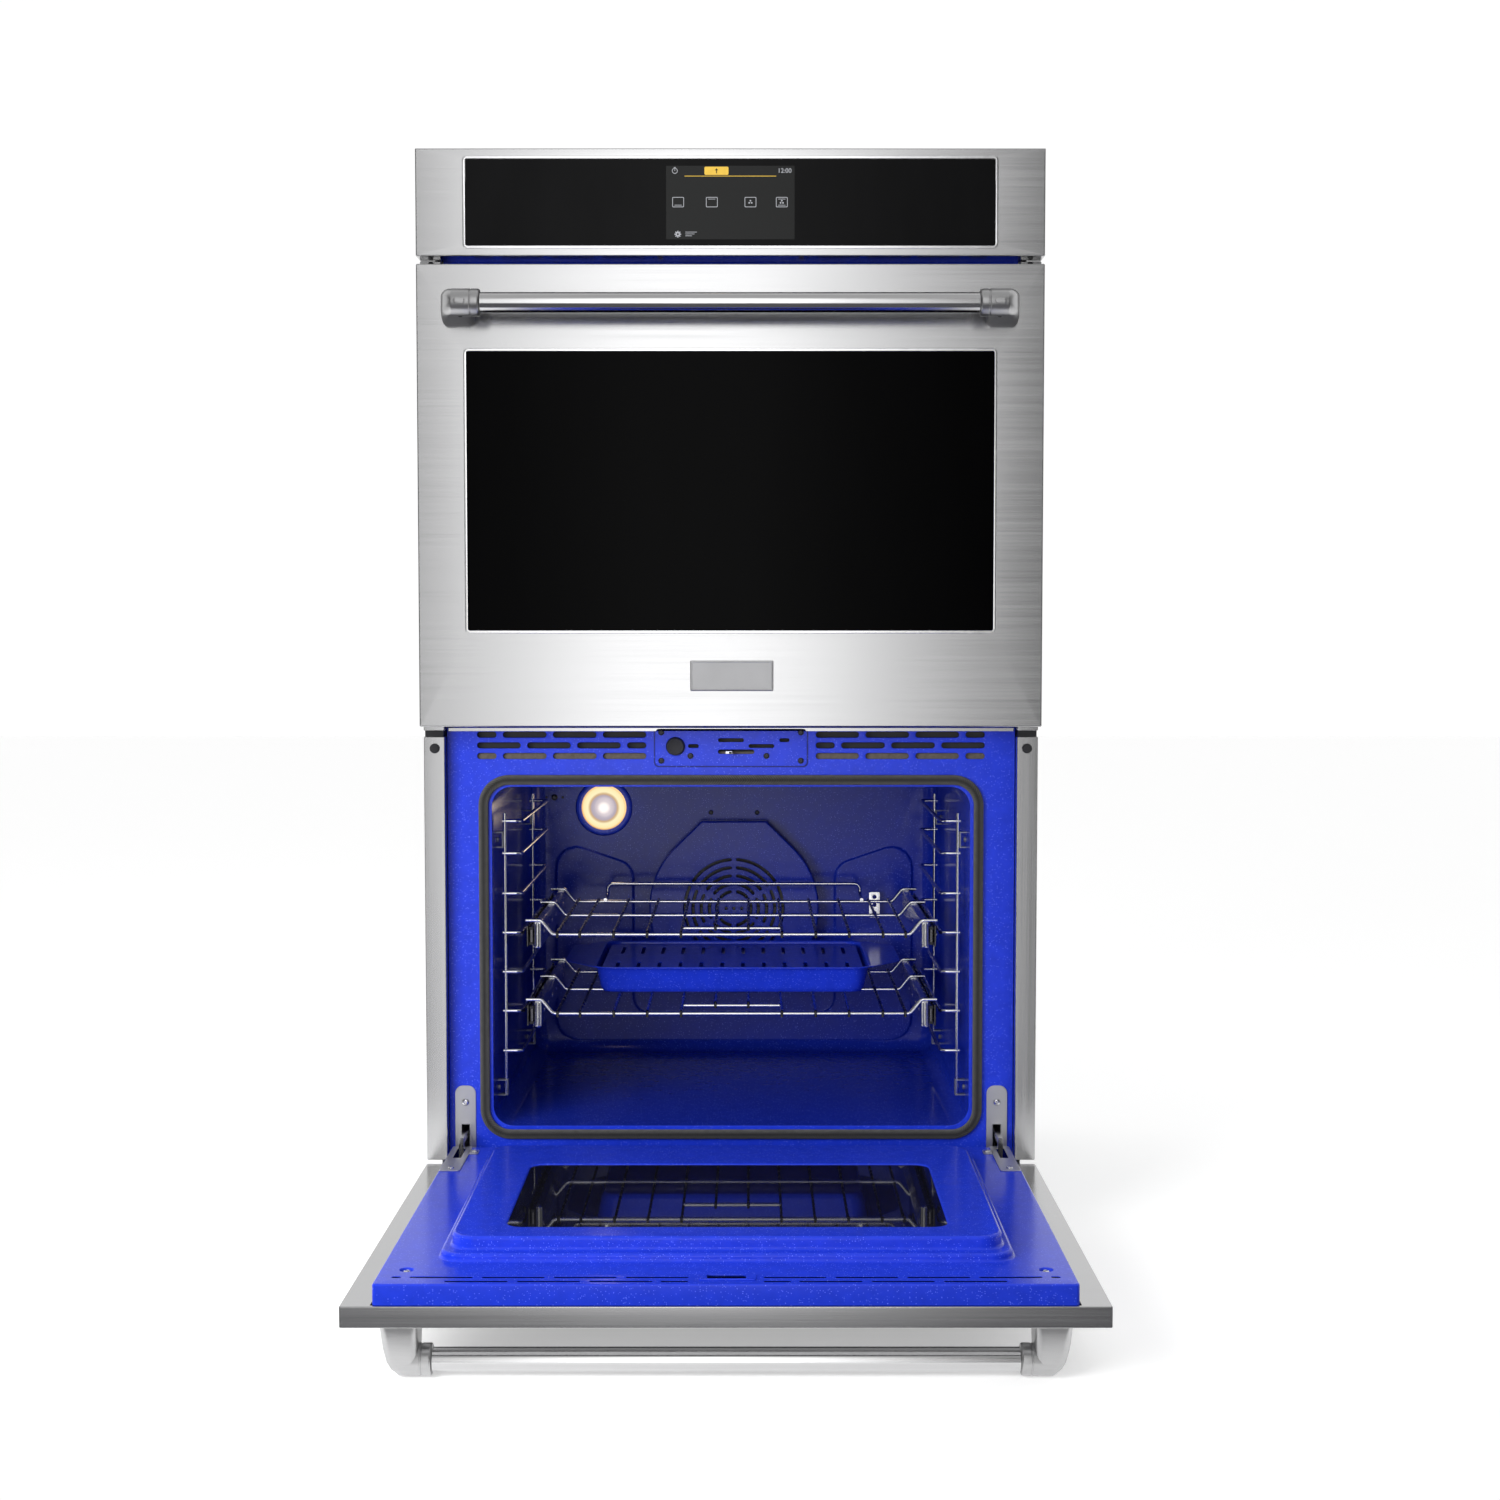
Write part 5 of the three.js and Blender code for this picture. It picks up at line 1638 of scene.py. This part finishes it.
class OVEN_OT_broiler_pan(BuildStep, Operator):
    """Broiler pan with rounded corners and the slotted grid in it"""
    bl_idname = "wall_oven.broiler_pan"
    bl_label = "Broiler pan"

    def build(self):
        half, rim = 183.0, PAN.z1
        front, back = PAN.d0 + 6, PAN.d1 - 6

        def section(shrink, z, radius):
            outline = rounded(-half + shrink, half - shrink, front + shrink, back - shrink,
                              radius, 6)
            return [place(x, depth, z) for x, depth in outline()]

        pan = Shape()
        steps = [(10.0, PAN.z0 + 0.2, 16), (8.2, PAN.z0 + 2.4, 17), (6.6, PAN.z0 + 6, 18),
                 (1.6, rim - 3.2, 20), (0.6, rim - 1.2, 21), (-2.5, rim - 0.2, 24),
                 (-5.2, rim - 0.5, 26), (-5.9, rim - 1.6, 26)]
        loops = [pan.ring(section(*step)) for step in steps]
        for one, other in zip(loops, loops[1:]):
            pan.bridge(one, other)
        pan.fill([loops[0]])
        finish(pan, "broiler_pan_tray", "pan", enamel, ["broiler_pan"], sheet=1.1,
               facing=Vector((0, 0, 1)))
        ears = Shape()
        for side in (-1, 1):
            near, far = side * (half + 3), side * PAN_EAR
            outline = polygon([(near, front + 4, 1), (near, back - 4, 1), (far, back - 46, 24),
                               (far, front + 56, 30)][::-side])
            ears.level_plate([outline], rim - 1.5, rim - 0.3)
        finish(ears, "broiler_pan_ears", "pan", enamel)

        grid = Shape()
        top, under = rim - 3.6, rim - 4.8
        outer = rounded(-175, 175, front + 8, back - 8, 14, 6)
        slots = []
        for near, far in ((front + 20, front + 64), (back - 104, back - 40)):
            for i in range(-6, 6):
                x = GRID_PITCH * (i + 0.5)
                slots.append(rounded(x - 2.5, x + 2.5, near, far, 2.4, 3))
        grid.level_plate([outer] + slots, top, under)
        finish(grid, "broiler_grid_plate", "pan", enamel, ["broiler_grid"])


# ---- doors -------------------------------------------------------------------------------------
class OVEN_OT_doors(BuildStep, Operator):
    """Doors: stainless skin, glass in its bright frame, enamelled liner and inner glass"""
    bl_idname = "wall_oven.doors"
    bl_label = "Doors"

    def build(self):
        for oven in OVENS:
            turn = stance(oven)
            self.skin(oven, turn)
            self.liner(oven, turn)
            self.hinge_plates(oven, turn)

    @staticmethod
    def skin(oven, turn):
        edge = oven_settings().steel.edge / MM
        body = f"{oven}_door"
        outer = rounded(SKIN.x0, SKIN.x1, SKIN.z0, SKIN.z1, 1.6, 3)
        flange = rounded(-348, 348, SKIN.z0 + 3.4, SKIN.z1 - 3.4, 1.2, 3)
        inside = rounded(SKIN.x0, SKIN.x1, SKIN.z0, SKIN.z1, 1.6, 3)
        window = rounded(GLASS.x0, GLASS.x1, GLASS.z0, GLASS.z1, 2.0)
        wall = 1.1
        pan = Shape()
        face = pan.sleeve(outer, bend((-edge, 0), (0, edge)) + bend(
            (0, SKIN.d1 - 1.2), (-1.2, SKIN.d1), True))
        lip = pan.sleeve(flange, [(0, SKIN.d1), (0, SKIN.d1 - wall)])
        back = pan.sleeve(inside, [(-wall, SKIN.d1 - wall), (-wall, wall)])
        hole = pan.sleeve(window, bend((3.6, 0), (2.8, 0.8)) + [(2.8, wall)])
        pan.bridge(face[1], lip[0])
        pan.bridge(lip[1], back[0])
        pan.fill([face[0], hole[0]])
        pan.fill([back[1], hole[1]])
        finish(pan, f"{oven}_door_pan", body, stainless, [f"{oven}_door_skin"],
               turn=turn)
        frame_ring(window, f"{oven}_window_frame", body, turn)
        pane = Shape()
        pane.plate(lambda by=0.0: window(by - 0.2), [], 0.05, GLASS.d1, 0.4)
        finish(pane, f"{oven}_window_pane", body, window_glass,
               [f"{oven}_door_glass"], turn=turn)

    @staticmethod
    def liner(oven, turn):
        body = f"{oven}_door"
        front = SKIN.d1 + 0.4
        flange = 43.3
        tray = Shape()
        outer = rounded(LINER.x0, LINER.x1, LINER.z0, LINER.z1, 4, 5)
        rim = tray.sleeve(outer, [(0, front)] + bend((0, flange - 2), (-2, flange), True))
        levels = []
        base = flange
        sleeves = []
        for half, z0, z1, top in STEPS:
            outline = rounded(-half, half, z0, z1, STEP_RADIUS, 8)
            levels = bend((3.0, base), (0, base + 3.0), False, 4)
            levels += bend((0, top - 3.4), (-3.4, top), True, 4)
            sleeves.append(tray.sleeve(outline, levels))
            base = top
        tray.bridge(sleeves[0][1], sleeves[1][0])
        half, z0, z1 = PORTHOLE
        port = tray.sleeve(rounded(-half, half, z0, z1, 17, 8),
                           bend((3.4, base), (0, base - 1.8), False, 4))
        tray.fill([sleeves[1][1], port[0]])
        holes = []
        for row, z in enumerate((562.0, 574.8)):
            for side in (-1, 1):
                spans = [(37 + 71 * i + 35 * row, 99 + 71 * i + 35 * row) for i in range(4 - row)]
                spans.append((37, 64) if row else (321, 330))
                holes += [slot(*sorted((side * a, side * b)), z, 4.5) for a, b in spans]
        holes.append(rounded(-19, 20, 557, 569.5, 3, 3))
        for side in (-1, 1):
            a, b = sorted((side * 326, side * 338))
            holes.append(rounded(a, b, 42, 93, 1.2, 2))
        rims = [tray.sleeve(hole, bend((0.7, flange), (0, flange - 0.7), steps=2))[0]
                for hole in holes]
        cups = [tray.sleeve(circle(side * 319, 537.5, 6.4, 24),
                            bend((1.6, flange), (0, flange - 1.6), steps=3) +
                            [(-0.8, flange - 3.4)]) for side in (-1, 1)]
        tray.fill([rim[1], sleeves[0][0]] + rims + [cup[0] for cup in cups])
        for cup in cups:
            tray.fill([cup[1]])
        finish(tray, f"{oven}_door_liner_tray", body, enamel,
               [f"{oven}_door_liner"], sheet=1.1, facing=Vector((0, 1, 0)), turn=turn)
        screws = Shape()
        for side in (-1, 1):
            screws.screw(place(side * 319, flange - 3.4, 537.5), Vector((0, 1, 0)), 4.2, 2.6)
        finish(screws, f"{oven}_liner_screws", body, plated_wire, turn=turn)
        pane = Shape()
        pane.plate(rounded(INNER_GLASS.x0, INNER_GLASS.x1, INNER_GLASS.z0, INNER_GLASS.z1, 8),
                   [], INNER_GLASS.d0, INNER_GLASS.d1, 0.3)
        finish(pane, f"{oven}_inner_pane", body, inner_glass,
               [f"{oven}_inner_glass"], turn=turn)
        strike = Shape()
        strike.plate(rounded(-27, 30, 553.5, 573, 3, 3), [rounded(-19, 20, 557.5, 569, 2.6, 3)],
                     flange - 0.1, flange + 1.3, 0.5)
        finish(strike, f"{oven}_latch_strike", body, enamel, turn=turn)

    @staticmethod
    def hinge_plates(oven, turn):
        body = f"{oven}_door"
        base = 43.35
        for name, side in SIDES:
            plate = Shape()
            x0, x1 = sorted((side * 320.0, side * 344.5))
            s0, s1 = sorted((side * 327.0, side * 337.0))
            plate.plate(rounded(x0, x1, 34, 152, 3, 3), [rounded(s0, s1, 44, 92, 1.0, 2)], base,
                        base + 1.1, 0.4)
            e0, e1 = sorted((side * 309.0, side * 322.0))
            plate.plate(rounded(e0, e1, 52, 72, 3, 3), [], base, base + 1.1, 0.4)
            finish(plate, f"{oven}_door_hinge_plate_{name}", body, plate_steel,
                   turn=turn)
            screws = Shape()
            for x, z in ((314.0, 62.0), (332.0, 141.0)):
                screws.screw(place(side * x, base + 1.1, z), Vector((0, 1, 0)), 3.8, 1.9)
            finish(screws, f"{oven}_door_hinge_screws_{name}", body, plated_wire,
                   turn=turn)


class OVEN_OT_hinges(BuildStep, Operator):
    """Cranked hinge arms with rounded edges"""
    bl_idname = "wall_oven.hinges"
    bl_label = "Hinge arms"

    def build(self):
        for oven in OVENS:
            for name, side in SIDES:
                node = f"{oven}_hinge_{name}"
                box = edges_of(node)
                joint = next(j for j in frame["joints"] if j["name"] == f"{oven}_door_hinge")
                pin_d, pin_z = joint["pos_m"][1] / MM - FACE, joint["pos_m"][2] / MM
                x0, x1 = sorted((side * 329.0, side * 335.0))
                crank = [(pin_d - 4, pin_z), (pin_d + 4, pin_z), (pin_d - 0.8, pin_z + 37),
                         (box.d1, pin_z + 37), (box.d1, box.z1), (6.0, box.z1)]
                arm = Shape()
                loops = [arm.ring([place(x, depth, z) for depth, z in crank])
                         for x in (x0, x1)]
                arm.bridge(*loops)
                arm.fill([loops[0]])
                arm.fill([loops[1]])
                arm.rod(place(x0, pin_d, pin_z), place(x1, pin_d, pin_z), 8, 24, 0.6)
                middle = (x0 + x1) / 2
                arm.rod(place(middle - 11.5, pin_d, pin_z), place(middle + 11.5, pin_d, pin_z), 4,
                        20, 0.5)
                finish(arm, f"{oven}_hinge_arm_{name}", "case", plated_wire, [node])


class OVEN_OT_handles(BuildStep, Operator):
    """Handle bars with their ferrules and swept posts"""
    bl_idname = "wall_oven.handles"
    bl_label = "Handles"

    def build(self):
        for oven in OVENS:
            turn, body = stance(oven), f"{oven}_door"
            bar = Shape()
            bar.rod(place(BAR.x0, BAR_DEPTH, BAR_HEIGHT), place(BAR.x1, BAR_DEPTH, BAR_HEIGHT),
                    BAR_RADIUS, 64, 0.8)
            finish(bar, f"{oven}_handle_tube", body, polished,
                   [f"{oven}_handle_bar"], turn=turn, crease=50)
            for name, side in SIDES:
                self.post(oven, name, side, turn, body)

    @staticmethod
    def post(oven, name, side, turn, body):
        post = Shape()
        sections = ((-0.3, 307, 345, 21.5, 7), (-8, 307, 345, 21.5, 7), (-20, 307, 344.5, 19.8, 8),
                    (-35, 307, 343, 17.6, 9), (-49, 307, 339.5, 16.3, 9),
                    (-56, 307.5, 336, 14.4, 9), (-61, 308.5, 331.5, 10.5, 8),
                    (-64, 309.5, 327.5, 6.0, 5), (-65.3, 311, 324, 2.4, 2.2))
        lofted = []
        for depth, inner, outer, height, radius in sections:
            x0, x1 = sorted((side * inner, side * outer))
            lofted.append((rounded(x0, x1, BAR_HEIGHT - height, BAR_HEIGHT + height, radius, 6),
                           depth))
        post.loft(lofted)
        inner = POST.x0
        centre = place(side * inner, BAR_DEPTH, BAR_HEIGHT)
        profile = [(BAR_RADIUS + 0.3, 0.9), (13.6, 0.4), (15.2, 0.0), (16.0, 0.7),
                   (FERRULE_RADIUS, 2.0), (FERRULE_RADIUS, 9.2), (15.7, 9.9), (15.7, 10.9),
                   (FERRULE_RADIUS, 11.6), (FERRULE_RADIUS, 32.0), (15.0, 34.0), (11.0, 35.0),
                   (0, 35.0)]
        post.turned([(0, 1.2)] + profile, centre, Vector((side, 0, 0)), 48)
        finish(post, f"{oven}_handle_mount_{name}", body, satin,
               [f"{oven}_handle_post_{name}"], turn=turn, crease=40)
        grub = Shape()
        grub.turned([(0, -0.2), (1.2, -0.2), (1.4, 0.4), (2.3, 0.5), (2.5, 0.0), (2.5, -1.5),
                     (0, -1.5)], place(side * 318, BAR_DEPTH, BAR_HEIGHT - FERRULE_RADIUS),
                    Vector((0, 0, -1)), 20)
        finish(grub, f"{oven}_handle_grub_screw_{name}", body, black_oxide_and_painted_shade, turn=turn)


class OVEN_OT_nameplate(BuildStep, Operator):
    """A blank nameplate on the upper door"""
    bl_idname = "wall_oven.nameplate"
    bl_label = "Nameplate"

    def build(self):
        plate = Shape()
        outline = rounded(-49, 52, 640 - DECK, 677 - DECK, 1.2, 3)
        front, back = plate.sleeve(outline, bend((-1.2, -1.8), (0, -0.6)) + [(0, 0.1)])
        inset = plate.sleeve(outline, [(-2.2, -1.8), (-2.6, -1.4)])
        plate.fill([front, inset[0]])
        plate.fill([inset[1]])
        plate.fill([back])
        finish(plate, "blank_nameplate", "upper_door", plate_steel,
               turn=stance("upper"))


# ---- stage -------------------------------------------------------------------------------------
def area_light(name, spot, target, size, energy, color=(1, 1, 1)):
    light = bpy.data.lights.new(name, "AREA")
    light.shape, light.size, light.size_y = "RECTANGLE", *size
    light.energy, light.color = energy, color
    lamp = bpy.data.objects.new(name, light)
    lamp.location = spot
    lamp.rotation_euler = (Vector(target) - Vector(spot)).to_track_quat("-Z", "Y").to_euler()
    lamp.visible_camera = False
    lamp.visible_glossy = False
    bpy.context.scene.collection.objects.link(lamp)


class OVEN_OT_stage(BuildStep, Operator):
    """Pale floor, soft studio light and the camera"""
    bl_idname = "wall_oven.stage"
    bl_label = "Stage"

    def build(self):
        scene = bpy.context.scene
        stage = oven_settings().stage
        low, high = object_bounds()
        ground = bpy.data.meshes.new("studio_floor")
        bm = bmesh.new()
        bmesh.ops.create_grid(bm, x_segments=1, y_segments=1, size=7,
                              matrix=Matrix.Translation((0, low.y - 0.03 + 7, low.z - 0.001)))
        bm.to_mesh(ground)
        bm.free()
        floor = bpy.data.objects.new("studio_floor", ground)
        scene.collection.objects.link(floor)
        ground.materials.append(finish_of(pale_floor))
        floor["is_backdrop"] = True

        camera = bpy.data.cameras.new("camera")
        camera.lens, camera.sensor_width = stage.lens, 36
        eye = bpy.data.objects.new("camera", camera)
        eye.location = (stage.side, FACE * MM - stage.distance, stage.height)
        eye.rotation_euler = (math.pi / 2 - stage.tilt, 0, 0)
        scene.collection.objects.link(eye)
        scene.camera = eye

        middle = (0, FACE * MM, (low.z + high.z) / 2)
        area_light("key_light", (-1.3, -1.95, 0.95), middle, (1.2, 1.5), 46)
        area_light("fill_light", (1.5, -2.6, 0.7), middle, (1.6, 1.6), 6)
        area_light("top_light", (0.0, -0.9, 3.2), (0, -0.4, 0), (2.4, 2.0), 8)
        self.surround(scene)
        scene.view_settings.view_transform = "Standard"

    @staticmethod
    def surround(scene):
        """A white room behind the oven that falls off to grey on its right side in front."""
        world = bpy.data.worlds.new("studio")
        world.use_nodes = True
        scene.world = world
        nodes = Finish(tree=world.node_tree)
        x, y, z = nodes.parts(nodes.add("TexCoord", output="Generated"))
        slope = x / (abs(y) + 0.05)
        band = nodes.add("ValToRGB", {"stops": [
            (side / 2 + 0.5, (*[level / STUDIO_STRENGTH] * 3, 1)) for side, level in STUDIO_BAND]},
            {0: slope * 0.5 + 0.5})
        below = nodes.blend(band, (0.04, 0.04, 0.043), (-0.20 - z) * 8.0)
        upward = nodes.blend(below, (0.18, 0.18, 0.18), (z - 0.45) * 4.0)
        behind = nodes.blend(upward, (0.30, 0.30, 0.30), y * 6.0)
        seen = nodes.add("LightPath", output=0)
        color = nodes.blend(behind, (0.34, 0.34, 0.34), seen)
        sky = nodes.add("Background", inputs={"Color": color, "Strength": STUDIO_STRENGTH})
        nodes.add("OutputWorld", inputs={"Surface": sky})


STEPS_IN_ORDER = (
    OVEN_OT_casing, OVEN_OT_trims, OVEN_OT_control_panel, OVEN_OT_blower,
    OVEN_OT_front_frames, OVEN_OT_latches, OVEN_OT_cavities, OVEN_OT_gaskets, OVEN_OT_fans,
    OVEN_OT_lamps, OVEN_OT_broil_elements, OVEN_OT_rack_guides, OVEN_OT_racks,
    OVEN_OT_broiler_pan, OVEN_OT_doors, OVEN_OT_hinges, OVEN_OT_handles, OVEN_OT_nameplate,
    OVEN_OT_stage,
)


class OVEN_PT_builder(Panel):
    """Lists the build steps and the settings"""
    bl_label = "Wall Oven"
    bl_idname = "OVEN_PT_builder"
    bl_space_type = "VIEW_3D"
    bl_region_type = "UI"
    bl_category = "Wall Oven"

    def draw(self, context):
        settings = context.scene.wall_oven
        for group in ("steel", "enamel", "glass", "wire", "lamp", "stage"):
            box = self.layout.box()
            box.label(text=group.capitalize())
            values = getattr(settings, group)
            for name in values.__annotations__:
                box.prop(values, name)
        for step in STEPS_IN_ORDER:
            self.layout.operator(step.bl_idname)


CLASSES = (SteelSettings, EnamelSettings, GlassSettings, WireSettings, LampSettings,
           StageSettings, OvenSettings, *STEPS_IN_ORDER, OVEN_PT_builder)


def register():
    for cls in CLASSES:
        bpy.utils.register_class(cls)
    bpy.types.Scene.wall_oven = PointerProperty(type=OvenSettings)


def unregister():
    del bpy.types.Scene.wall_oven
    for cls in reversed(CLASSES):
        bpy.utils.unregister_class(cls)


def main():
    register()
    for step in STEPS_IN_ORDER:
        group, name = step.bl_idname.split(".")
        getattr(getattr(bpy.ops, group), name)()


if __name__ == "__main__":
    main()
